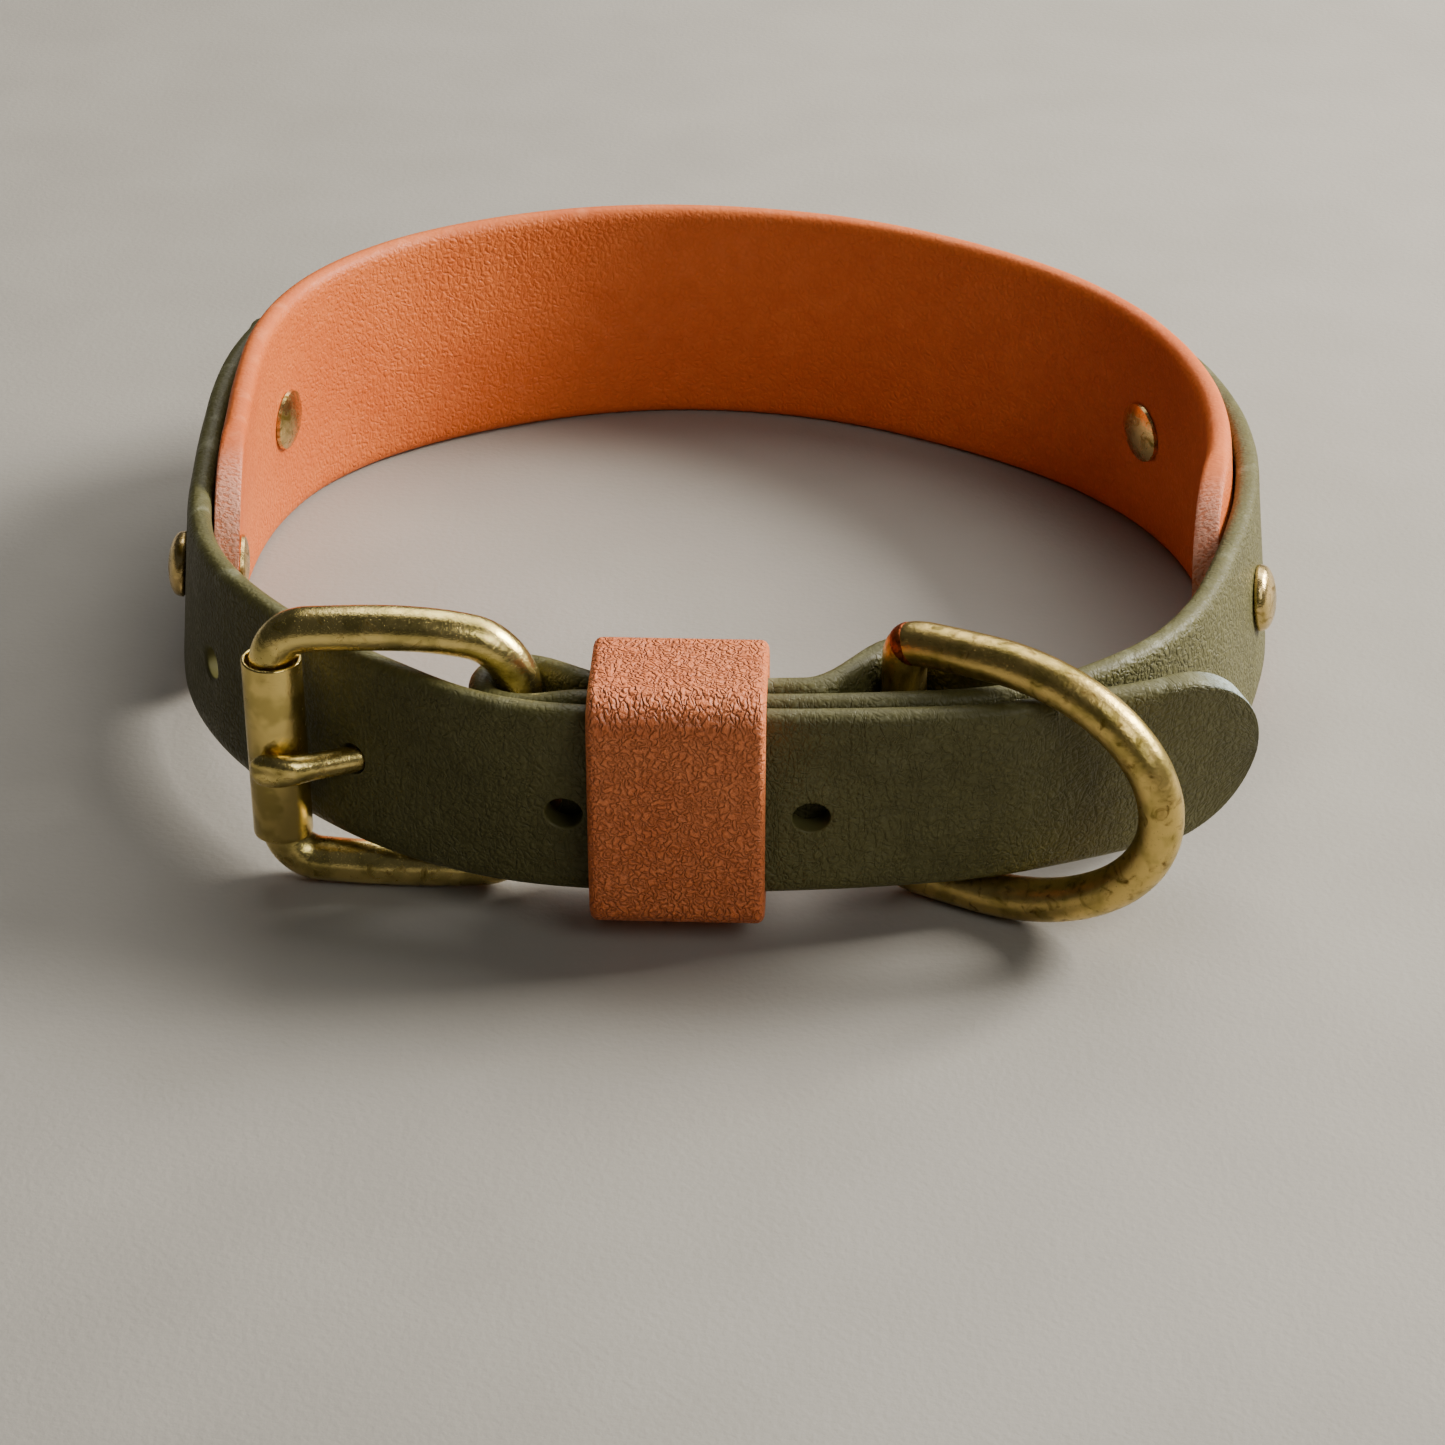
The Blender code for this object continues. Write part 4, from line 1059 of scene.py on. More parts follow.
@dataclass
class Effects:
    """The node groups that several finishes share."""

    def __post_init__(self) -> None:
        """Builds each group once."""
        self.grain = self._grain()
        self.mottle = self._mottle()
        self.patina = self._patina()
        self.fibre = self._fibre()

    def place(
        self, graph: Graph, group: bpy.types.NodeTree, vector: object, **values: float
    ) -> bpy.types.NodeOutputs:
        """Puts a group into a material.

        Args:
            graph: The material's graph.
            group: The group.
            vector: Where the effect is read.
            **values: Values of its other inputs; an underscore stands for a space.

        Returns:
            The outputs of the placed group.
        """
        node = graph.add("ShaderNodeGroup", node_tree=group)
        graph.feed(node.inputs["Vector"], vector)
        for key, value in values.items():
            node.inputs[key.replace("_", " ")].default_value = value
        return node.outputs

    @staticmethod
    def _grain() -> bpy.types.NodeTree:
        """Leather grain: winding ridges, pebbles and creases.

        Returns:
            The node group.
        """
        tree, graph, given, taken = new_group(
            "leather_grain",
            {
                "Vector": ("Vector", 0.0),
                "Cells": ("Float", 1500.0),
                "Worms": ("Float", 0.5),
                "Creases": ("Float", 0.3),
            },
            ("Height", "Hollows"),
        )
        vector, cells = given["Vector"], given["Cells"]
        pebble = graph.cells(vector, cells)
        pebble = graph.span(pebble, 0.02, 0.30, 0.0, 1.0)
        winding = graph.noise(vector, graph.math("MULTIPLY", cells, 0.9), 1.0, 0.45)
        ridge = graph.math("ABSOLUTE", graph.math("SUBTRACT", winding, 0.5))
        ridge = graph.span(ridge, -0.02, 0.15, 0.0, 1.0)
        relief = graph.add("ShaderNodeMix", data_type="FLOAT")
        graph.feed(relief.inputs[0], given["Worms"])
        graph.feed(relief.inputs[2], pebble)
        graph.feed(relief.inputs[3], ridge)
        fine = graph.noise(vector, graph.math("MULTIPLY", cells, 2.6), 3.0)
        long_way = graph.stretched(vector, 1.6, 0.55)
        crease = graph.noise(long_way, graph.math("MULTIPLY", cells, 0.33), 3.5, 0.8)
        crease = graph.math("ABSOLUTE", graph.math("SUBTRACT", crease, 0.5))
        crease = graph.span(crease, 0.0, 0.045, 1.0, 0.0)
        height = graph.math("ADD", relief.outputs[0], graph.math("MULTIPLY", fine, 0.45))
        depth = graph.math("MULTIPLY", crease, given["Creases"])
        graph.feed(taken["Height"], graph.math("SUBTRACT", height, depth))
        hollows = graph.math("SUBTRACT", 1.0, relief.outputs[0])
        graph.feed(taken["Hollows"], graph.math("MAXIMUM", hollows, depth))
        return tree

    @staticmethod
    def _mottle() -> bpy.types.NodeTree:
        """Slow drifts of tone, with a finer cloud over them, and patches that mark wear and painted
        highlight.

        Returns:
            The node group.
        """
        tree, graph, given, taken = new_group(
            "soft_mottle",
            {"Vector": ("Vector", 0.0), "Scale": ("Float", 60.0)},
            ("Tone", "Rubs"),
        )
        wide = graph.noise(given["Vector"], given["Scale"], 3.0, 0.4)
        fine = graph.noise(given["Vector"], graph.math("MULTIPLY", given["Scale"], 9.0), 4.0)
        tone = graph.math("ADD", graph.math("MULTIPLY", wide, 0.65), graph.math("MULTIPLY", fine, 0.35))
        graph.feed(taken["Tone"], graph.span(tone, 0.32, 0.68, 0.0, 1.0))
        rubs = graph.noise(given["Vector"], graph.math("MULTIPLY", given["Scale"], 4.5), 6.0, 1.0)
        graph.feed(taken["Rubs"], graph.span(rubs, 0.52, 0.74, 0.0, 1.0))
        return tree

    @staticmethod
    def _patina() -> bpy.types.NodeTree:
        """Old brass: tarnish clouds, dark specks, scratches and a faint hammered surface.

        Returns:
            The node group.
        """
        tree, graph, given, taken = new_group(
            "old_brass",
            {
                "Vector": ("Vector", 0.0),
                "Scale": ("Float", 260.0),
                "Age": ("Float", 0.5),
                "Speckle": ("Float", 0.5),
            },
            ("Tarnish", "Specks", "Green", "Height"),
        )
        vector, scale = given["Vector"], given["Scale"]
        cloud = graph.noise(vector, scale, 5.0, 0.8)
        low = graph.math("SUBTRACT", 0.78, graph.math("MULTIPLY", given["Age"], 0.45))
        tarnish = graph.add("ShaderNodeMapRange", interpolation_type="SMOOTHSTEP")
        graph.feed(tarnish.inputs[0], cloud)
        graph.feed(tarnish.inputs[1], low)
        graph.feed(tarnish.inputs[2], graph.math("ADD", low, 0.26))
        graph.feed(taken["Tarnish"], tarnish.outputs[0])
        dots = graph.noise(vector, graph.math("MULTIPLY", scale, 9.0), 6.0, 0.6)
        edge = graph.math("SUBTRACT", 0.80, graph.math("MULTIPLY", given["Speckle"], 0.16))
        specks = graph.add("ShaderNodeMapRange", interpolation_type="SMOOTHSTEP")
        graph.feed(specks.inputs[0], dots)
        graph.feed(specks.inputs[1], edge)
        graph.feed(specks.inputs[2], graph.math("ADD", edge, 0.07))
        graph.feed(taken["Specks"], specks.outputs[0])
        green = graph.noise(vector, graph.math("MULTIPLY", scale, 0.6), 2.0)
        graph.feed(taken["Green"], graph.span(green, 0.42, 0.66, 0.0, 1.0))
        scratch = graph.noise(graph.stretched(vector, 0.35, 3.0), graph.math("MULTIPLY", scale, 12.0), 2.0)
        dents = graph.noise(vector, graph.math("MULTIPLY", scale, 3.2), 3.0)
        height = graph.math("ADD", graph.math("MULTIPLY", scratch, 0.25), dents)
        pits = graph.math("MULTIPLY", specks.outputs[0], 0.6)
        graph.feed(taken["Height"], graph.math("SUBTRACT", height, pits))
        return tree

    @staticmethod
    def _fibre() -> bpy.types.NodeTree:
        """The woven core that shows where a strap is cut.

        Returns:
            The node group.
        """
        tree, graph, given, taken = new_group(
            "cut_fibre",
            {"Vector": ("Vector", 0.0), "Scale": ("Float", 2600.0)},
            ("Threads", "Height"),
        )
        threads = graph.noise(graph.stretched(given["Vector"], 1.0, 1.6), given["Scale"], 4.0)
        graph.feed(taken["Threads"], graph.span(threads, 0.36, 0.62, 0.0, 1.0))
        graph.feed(taken["Height"], threads)
        return tree


def new_material(name: str) -> tuple[bpy.types.Material, Graph, bpy.types.Node]:
    """An empty material, its graph and its Principled shader.

    Args:
        name: The material's name.

    Returns:
        The three of them.
    """
    material = bpy.data.materials.new(name)
    material.use_nodes = True
    graph = Graph(material.node_tree)
    return material, graph, material.node_tree.nodes["Principled BSDF"]


def add_bump(
    graph: Graph, shader: bpy.types.Node, height: object, distance: float, strength: float
) -> None:
    """Feeds a height into the shader's normal through a Bump node.

    Args:
        graph: The material's graph.
        shader: The shader that takes the normal.
        height: The height to follow.
        distance: Metres from low to high.
        strength: How strongly the light sees it.
    """
    bump = graph.add("ShaderNodeBump")
    bump.inputs["Distance"].default_value = distance
    bump.inputs["Strength"].default_value = strength
    graph.feed(bump.inputs["Height"], height)
    graph.feed(shader.inputs["Normal"], bump.outputs["Normal"])


@dataclass(frozen=True)
class StrapFinish:
    """Coated webbing with a leather grain in relief whose hollows and creases get painted shade, and a
    woven core at its cuts.
    """

    name: str
    deep: tuple[int, int, int]
    light: tuple[int, int, int]
    # Lighter colour of the rolled edges, partly wear and partly painted highlight of light falling on the
    # edges.
    rubbed_and_lit: tuple[int, int, int]
    core: tuple[int, int, int]
    cells: float
    worms: float
    creases: float
    relief: float
    hollow_shade: float = 0.35
    roughness: float = 0.46
    coat: float = 0.12
    # How strongly the rolled edges take that colour: wear and painted highlight together.
    edge_wear_and_highlight: float = 0.35
    specular: float = 0.5

    def material(self, effects: Effects) -> bpy.types.Material:
        """Builds the finish.

        Args:
            effects: The shared node groups.

        Returns:
            The material.
        """
        material, graph, shader = new_material(self.name)
        lay = graph.add("ShaderNodeUVMap", uv_map=LAY_MAP).outputs[0]
        masks = graph.add("ShaderNodeSeparateXYZ")
        graph.feed(masks.inputs[0], graph.add("ShaderNodeUVMap", uv_map=EDGE_MAP).outputs[0])
        cut, rolled = masks.outputs[0], masks.outputs[1]
        grain = effects.place(
            graph, effects.grain, lay, Cells=self.cells, Worms=self.worms, Creases=self.creases
        )
        mottle = effects.place(graph, effects.mottle, lay, Scale=55.0)
        spot = graph.add("ShaderNodeTexCoord").outputs["Object"]
        fibre = effects.place(graph, effects.fibre, spot, Scale=2600.0)
        colour = graph.blend(mottle["Tone"], linear(*self.deep), linear(*self.light))
        # Painted shade: the grain's hollows and creases are darkened toward a deeper copy of the base
        # colour.
        shade = graph.math("MULTIPLY", grain["Hollows"], self.hollow_shade)
        dark = tuple(int(channel * 0.45) for channel in self.deep)
        colour = graph.blend(shade, colour, linear(*dark))
        # Painted highlight and wear: patches on the rolled edges are blended toward the lighter edge
        # colour, partly for light falling on the edges and partly for rubbing.
        wear_and_highlight = graph.math("MULTIPLY", mottle["Rubs"], graph.span(rolled, 0.35, 1.0, 0.12, 1.0))
        wear_and_highlight = graph.math("MULTIPLY", wear_and_highlight, self.edge_wear_and_highlight)
        colour = graph.blend(wear_and_highlight, colour, linear(*self.rubbed_and_lit))
        bare = graph.span(cut, 0.55, 0.95, 0.0, 1.0)
        bare = graph.math("MULTIPLY", bare, graph.span(fibre["Threads"], 0.0, 0.6, 0.45, 1.0))
        colour = graph.blend(bare, colour, linear(*self.core))
        graph.feed(shader.inputs["Base Color"], colour)
        rough = graph.math("ADD", self.roughness, graph.math("MULTIPLY", grain["Hollows"], 0.12))
        rough = graph.math("SUBTRACT", rough, graph.math("MULTIPLY", mottle["Rubs"], 0.07))
        rough = graph.math("ADD", rough, graph.math("MULTIPLY", bare, 0.35), clamp=True)
        graph.feed(shader.inputs["Roughness"], rough)
        shader.inputs["Specular IOR Level"].default_value = self.specular
        shader.inputs["Coat Weight"].default_value = self.coat
        shader.inputs["Coat Roughness"].default_value = 0.38
        smooth_edge = graph.span(rolled, 0.2, 0.9, 1.0, 0.25)
        height = graph.math("MULTIPLY", grain["Height"], smooth_edge)
        rough_core = graph.math("MULTIPLY", fibre["Height"], graph.math("MULTIPLY", bare, 1.2))
        add_bump(graph, shader, graph.math("ADD", height, rough_core), self.relief, 0.85)
        return material


@dataclass(frozen=True)
class BrassFinish:
    """Antique brass with tarnish, green-brown tints and dark specks."""

    name: str
    bright: tuple[int, int, int] = (236, 212, 132)
    aged: tuple[int, int, int] = (132, 104, 46)
    green: tuple[int, int, int] = (116, 108, 40)
    speck: tuple[int, int, int] = (34, 26, 14)
    scale: float = 760.0
    age: float = 0.55
    speckle: float = 0.90
    roughness: float = 0.24
    relief: float = 0.000065

    def material(self, effects: Effects) -> bpy.types.Material:
        """Builds the finish.

        Args:
            effects: The shared node groups.

        Returns:
            The material.
        """
        material, graph, shader = new_material(self.name)
        spot = graph.add("ShaderNodeTexCoord").outputs["Object"]
        patina = effects.place(
            graph,
            effects.patina,
            spot,
            Scale=self.scale,
            Age=self.age,
            Speckle=self.speckle,
        )
        colour = graph.blend(patina["Tarnish"], linear(*self.bright), linear(*self.aged))
        tint = graph.math("MULTIPLY", patina["Green"], 0.45)
        colour = graph.blend(tint, colour, linear(*self.green))
        specks = graph.math("MULTIPLY", patina["Specks"], 0.85)
        colour = graph.blend(specks, colour, linear(*self.speck))
        graph.feed(shader.inputs["Base Color"], colour)
        rough = graph.math("ADD", self.roughness, graph.math("MULTIPLY", patina["Tarnish"], 0.20))
        rough = graph.math("ADD", rough, graph.math("MULTIPLY", specks, 0.30), clamp=True)
        graph.feed(shader.inputs["Roughness"], rough)
        shader.inputs["Metallic"].default_value = 1.0
        add_bump(graph, shader, patina["Height"], self.relief, 0.6)
        return material


@dataclass(frozen=True)
class FloorFinish:
    """A plain pale table top with a barely felt tooth."""

    name: str = "pale_table"
    low: tuple[int, int, int] = (145, 140, 130)
    high: tuple[int, int, int] = (155, 150, 140)

    def material(self, effects: Effects) -> bpy.types.Material:
        """Builds the finish.

        Args:
            effects: The shared node groups.

        Returns:
            The material.
        """
        material, graph, shader = new_material(self.name)
        spot = graph.add("ShaderNodeTexCoord").outputs["Object"]
        mottle = effects.place(graph, effects.mottle, spot, Scale=7.0)
        colour = graph.blend(mottle["Tone"], linear(*self.low), linear(*self.high))
        graph.feed(shader.inputs["Base Color"], colour)
        shader.inputs["Roughness"].default_value = 0.75
        tooth = graph.noise(spot, 1500.0, 3.0)
        add_bump(graph, shader, tooth, 0.00012, 0.5)
        return material


OLIVE = StrapFinish(
    name="olive_coated_webbing",
    deep=(80, 76, 38),
    light=(96, 92, 50),
    rubbed_and_lit=(150, 150, 118),
    core=(170, 182, 176),
    cells=1350.0,
    worms=0.55,
    creases=0.45,
    relief=0.00018,
    hollow_shade=0.20,
    roughness=0.46,
    coat=0.04,
    specular=0.30,
)
TERRACOTTA = StrapFinish(
    name="terracotta_coated_webbing",
    deep=(204, 95, 32),
    light=(217, 110, 44),
    rubbed_and_lit=(238, 140, 88),
    core=(228, 160, 132),
    cells=1300.0,
    worms=0.4,
    creases=0.25,
    relief=0.00010,
    hollow_shade=0.10,
    roughness=0.5,
    coat=0.06,
    edge_wear_and_highlight=0.5,
    specular=0.34,
)
PEBBLED = StrapFinish(
    name="terracotta_pebbled_leather",
    deep=(218, 114, 60),
    light=(231, 131, 75),
    rubbed_and_lit=(228, 142, 96),
    core=(206, 140, 108),
    cells=1700.0,
    worms=0.9,
    creases=0.10,
    relief=0.00040,
    hollow_shade=0.27,
    roughness=0.50,
    coat=0.04,
    edge_wear_and_highlight=0.2,
    specular=0.36,
)
BRASS = BrassFinish(name="antique_brass_wire")
ROLLED_BRASS = BrassFinish(
    name="antique_brass_sheet", bright=(230, 204, 124), age=0.30, speckle=0.55, roughness=0.25
)
RIVET_BRASS = BrassFinish(
    name="antique_brass_rivet", bright=(226, 196, 132), age=0.7, speckle=0.5, roughness=0.24
)
RING_BRASS = BrassFinish(
    name="antique_brass_ring",
    bright=(208, 180, 106),
    aged=(106, 82, 38),
    age=0.62,
    roughness=0.31,
)
BRAZE = BrassFinish(
    name="copper_braze",
    bright=(172, 92, 50),
    aged=(96, 44, 22),
    green=(96, 66, 34),
    scale=1400.0,
    age=0.8,
    roughness=0.38,
)


# Sub-assemblies


@dataclass
class Panel:
    """The wide rear strap, inside the two olive straps at its ends."""

    layout: Layout
    corner: float = 0.0122
    past_rivet: float = 0.007
    spacing: float = 0.0012

    def stations(self) -> list[Station]:
        """Cross-sections from the right end to the left one.

        Returns:
            The cross-sections, in order.
        """
        lay = self.layout
        first = lay.rivets[0] - self.past_rivet
        last = lay.rivets[3] + self.past_rivet
        ends = end_stops(self.corner, 22)
        stops = [first + d for d in ends]
        stops += spread(first + self.corner, last - self.corner, self.spacing)
        stops += [last - d for d in reversed(ends)]
        stations = []
        for stop in stops:
            place = lay.line.place(stop)
            from_end = min(stop - first, last - stop)
            middle = lay.point(place, -lay.panel_offset, lay.panel_height(place))
            share = rounded_share(from_end, self.corner, lay.panel_width)
            cut = cut_share(from_end, self.corner)
            stations.append(Station(middle, place.out, place.lean, stop, share, cut))
        return stations

    def build(self, effects: Effects) -> bpy.types.Object:
        """Builds and dresses the panel.

        Args:
            effects: The shared node groups.

        Returns:
            The finished piece.
        """
        lay = self.layout
        webbing = Webbing(lay.panel_width, lay.panel_thickness, roll=0.0018, rows=14)
        obj = piece(
            "panel_webbing", webbing.mesh("panel_webbing", self.stations()), TERRACOTTA.material(effects)
        )
        return settle(obj, Body.COLLAR, Slot.TERRACOTTA, "panel")


@dataclass
class HoleStrap:
    """The olive strap with the holes and the free tip."""

    layout: Layout
    corner: float = 0.005
    past_rivet: float = 0.008
    free_length: float = 0.0232
    free_bend: float = 9.0
    free_lean: float = 10.0
    tip_length: float = 0.009
    spacing: float = 0.0009
    hole_length: float = 0.0034
    hole_height: float = 0.0030
    holes_left: int = 1
    holes_right: int = 2
    prong_hole_radius: float = 0.0015

    def free_end(self) -> list[Station]:
        """Stations of the free end, which leaves the ring line and bends less than it.

        Returns:
            The cross-sections, in order.
        """
        lay = self.layout
        start = lay.line.place(lay.free_end_at)
        heading_first = math.atan2(start.along[1], start.along[0])
        point = start.point.copy()
        stops = spread(0.0, self.free_length - self.tip_length, self.spacing)
        stops += [self.free_length - d for d in reversed(end_stops(self.tip_length, 22)[:-1])]
        stations = []
        walked = 0.0
        for stop in stops:
            share = (walked + stop) / 2 / self.free_length
            heading = heading_first + math.radians(self.free_bend) * share
            point = point + (stop - walked) * np.array([math.cos(heading), math.sin(heading)])
            walked = stop
            heading = heading_first + math.radians(self.free_bend) * stop / self.free_length
            direction = np.array([math.cos(heading), math.sin(heading)])
            out = np.array([direction[1], -direction[0]])
            lean = mix(start.lean, math.radians(self.free_lean), stop / self.free_length)
            place = Place(point, direction, out, lean, start.rise)
            from_tip = self.free_length - stop
            along_tip = min(1.0, from_tip / self.tip_length)
            width = math.sqrt(max(0.0, 1.0 - (1.0 - along_tip) ** 2))
            cut = cut_share(from_tip, self.tip_length)
            middle = lay.point(
                place, lay.strap_offset, lay.strap_height(place, lay.free_strap_rise)
            )
            run = lay.free_end_at + stop
            stations.append(Station(middle, out, lean, run, width, cut))
        return stations

    def stations(self) -> list[Station]:
        """Cross-sections from the riveted end to the free tip.

        Returns:
            The cross-sections, in order.
        """
        lay = self.layout
        first = lay.rivets[2] - self.past_rivet - lay.line.length
        stops = [first + d for d in end_stops(self.corner, 14)]
        stops += spread(first + self.corner, lay.free_end_at, self.spacing)[:-1]
        stations = []
        for stop in stops:
            place = lay.line.place(stop)
            height = lay.strap_height(place, lay.free_rise(stop))
            middle = lay.point(place, lay.strap_offset, height)
            share = rounded_share(stop - first, self.corner, lay.strap_width)
            cut = cut_share(stop - first, self.corner)
            stations.append(Station(middle, place.out, place.lean, stop, share, cut))
        return stations + self.free_end()

    def cutters(self, prong_direction: Sequence[float]) -> list[bpy.types.Object]:
        """Helpers for the adjustment holes and the prong's own.

        Args:
            prong_direction: The way that the prong goes through the strap.

        Returns:
            The helper objects.
        """
        lay = self.layout
        found = []
        for k in range(-self.holes_left, self.holes_right + 1):
            if k == 0:
                continue
            distance = lay.hole_row + k * lay.hole_spacing
            place = lay.line.place(distance)
            height = lay.hole_height(place, lay.free_rise(distance - lay.line.length))
            matrix = facing(lay.point(place, lay.strap_offset, height), place.leaned())
            stretch = self.hole_length / self.hole_height
            found.append(
                hole_cutter(self.hole_height / 2, lay.strap_thickness, 0.00028, stretch, matrix)
            )
        place = lay.line.place(lay.prong_hole)
        centre = lay.point(place, lay.strap_offset, lay.hole_height(place))
        outward = np.array([*place.leaned()])
        direction = np.array(prong_direction) / np.linalg.norm(prong_direction)
        if np.dot(direction, outward) < 0:
            direction = -direction
        matrix = facing(centre, direction)
        found.append(
            hole_cutter(self.prong_hole_radius, 2.2 * lay.strap_thickness, 0.0002, 1.0, matrix)
        )
        return found

    def build(self, effects: Effects, prong_direction: Sequence[float]) -> bpy.types.Object:
        """Builds and dresses the strap.

        Args:
            effects: The shared node groups.
            prong_direction: The way that the prong goes through the strap.

        Returns:
            The finished piece.
        """
        lay = self.layout
        webbing = Webbing(lay.strap_width, lay.strap_thickness)
        mesh = webbing.mesh("hole_strap_webbing", self.stations())
        obj = piece("hole_strap_webbing", mesh, OLIVE.material(effects))
        carve(obj, self.cutters(prong_direction))
        return settle(obj, Body.COLLAR, Slot.OLIVE, "hole_strap")


@dataclass
class BuckleStrap:
    """The olive strap that folds round the buckle's bar and holds the D-ring."""

    layout: Layout
    corner: float = 0.005
    past_rivet: float = 0.008
    spacing: float = 0.0009
    slot_height: float = 0.0037
    slot_reach: float = 0.0055

    def stations(self) -> list[Station]:
        """Cross-sections from the right end, round the bar, to the end of the inner layer.

        Returns:
            The cross-sections, in order.
        """
        lay = self.layout
        line = lay.line
        last = lay.rivets[1] + self.past_rivet
        stops = [last - d for d in end_stops(self.corner, 14)]
        stops += spread(last - self.corner, 0.0, self.spacing)[:-1]
        rows = []
        for stop in stops:
            place = line.place(stop)
            crossing = (lay.outer_from - stop) / (lay.outer_from - lay.inner_from)
            crossing = min(1.0, max(0.0, crossing))
            crossing = crossing * crossing * (3 - 2 * crossing)
            offset = mix(lay.strap_offset, -lay.strap_offset, crossing)
            trim = lay.fold_trim(stop)
            middle = lay.point(place, offset, lay.strap_height(place, -trim / 2))
            rows.append((middle, place.lean, stop, last - stop, trim))
        bar = line.place(0.0)
        height = lay.strap_height(bar, -lay.trim / 2)
        for k in range(LOOP_STEPS + 1):
            turn = math.pi * k / LOOP_STEPS
            spot = lay.bar() + lay.fold_radius * (
                math.cos(turn) * bar.out - math.sin(turn) * bar.along
            )
            middle = np.array([*spot, height])
            rows.append((middle, 0.0, -lay.fold_radius * turn, 1.0, lay.trim))
        end = lay.ring_rivet_at + lay.fold_past_rivet
        back = spread(self.spacing, end - self.corner, self.spacing)
        back += [end - d for d in reversed(end_stops(self.corner, 14))]
        turned = lay.fold_radius * math.pi
        for stop in back:
            place = line.place(stop)
            offset = -(lay.strap_offset + lay.fold_step(stop))
            trim = lay.fold_trim(stop)
            middle = lay.point(place, offset, lay.strap_height(place, -trim / 2))
            rows.append((middle, -place.lean, -turned - stop, end - stop, trim))
        plan = np.array([row[0][:2] for row in rows])
        runs = np.gradient(plan, axis=0)
        stations = []
        for (middle, lean, run, from_end, trim), way in zip(rows, runs):
            way = way / np.linalg.norm(way)
            out = np.array([-way[1], way[0]])
            share = rounded_share(from_end, self.corner, lay.strap_width)
            share -= trim / lay.strap_width
            cut = cut_share(from_end, self.corner)
            stations.append(Station(middle, out, lean, run, share, cut))
        return stations

    def slot_cutter(self) -> bpy.types.Object:
        """The helper that opens the fold for the prong.

        Returns:
            The helper object.
        """
        lay = self.layout
        bar = lay.line.place(0.0)
        matrix = facing((*lay.bar(), lay.hole_height(bar)), (*bar.out, 0.0))
        half = self.slot_height / 2
        points = []
        for side in (1, -1):
            for k in range(CORNER_STEPS + 1):
                turn = math.pi * k / CORNER_STEPS - math.pi / 2
                x = side * (self.slot_reach - half + half * math.cos(turn))
                points.append((x, side * half * math.sin(turn)))
        depth = 4 * lay.fold_radius
        rings = np.array([[(x, y, z) for x, y in points] for z in (-depth / 2, depth / 2)])
        mesh = loft("slot_cutter", rings)
        count = len(mesh.loops)
        for name, value in ((LAY_MAP, CUT_WALL_LAY), (EDGE_MAP, 0.0)):
            mesh.uv_layers.new(name=name).data.foreach_set("uv", [value] * (2 * count))
        cutter = bpy.data.objects.new("slot_cutter", mesh)
        bpy.context.scene.collection.objects.link(cutter)
        cutter.matrix_world = matrix
        return cutter

    def build(self, effects: Effects) -> bpy.types.Object:
        """Builds and dresses the strap.

        Args:
            effects: The shared node groups.

        Returns:
            The finished piece.
        """
        lay = self.layout
        webbing = Webbing(lay.strap_width, lay.strap_thickness)
        mesh = webbing.mesh("buckle_strap_webbing", self.stations())
        material = bpy.data.materials.get(OLIVE.name) or OLIVE.material(effects)
        obj = piece("buckle_strap_webbing", mesh, material)
        carve(obj, [self.slot_cutter()])
        return settle(obj, Body.COLLAR, Slot.OLIVE, "buckle_strap")


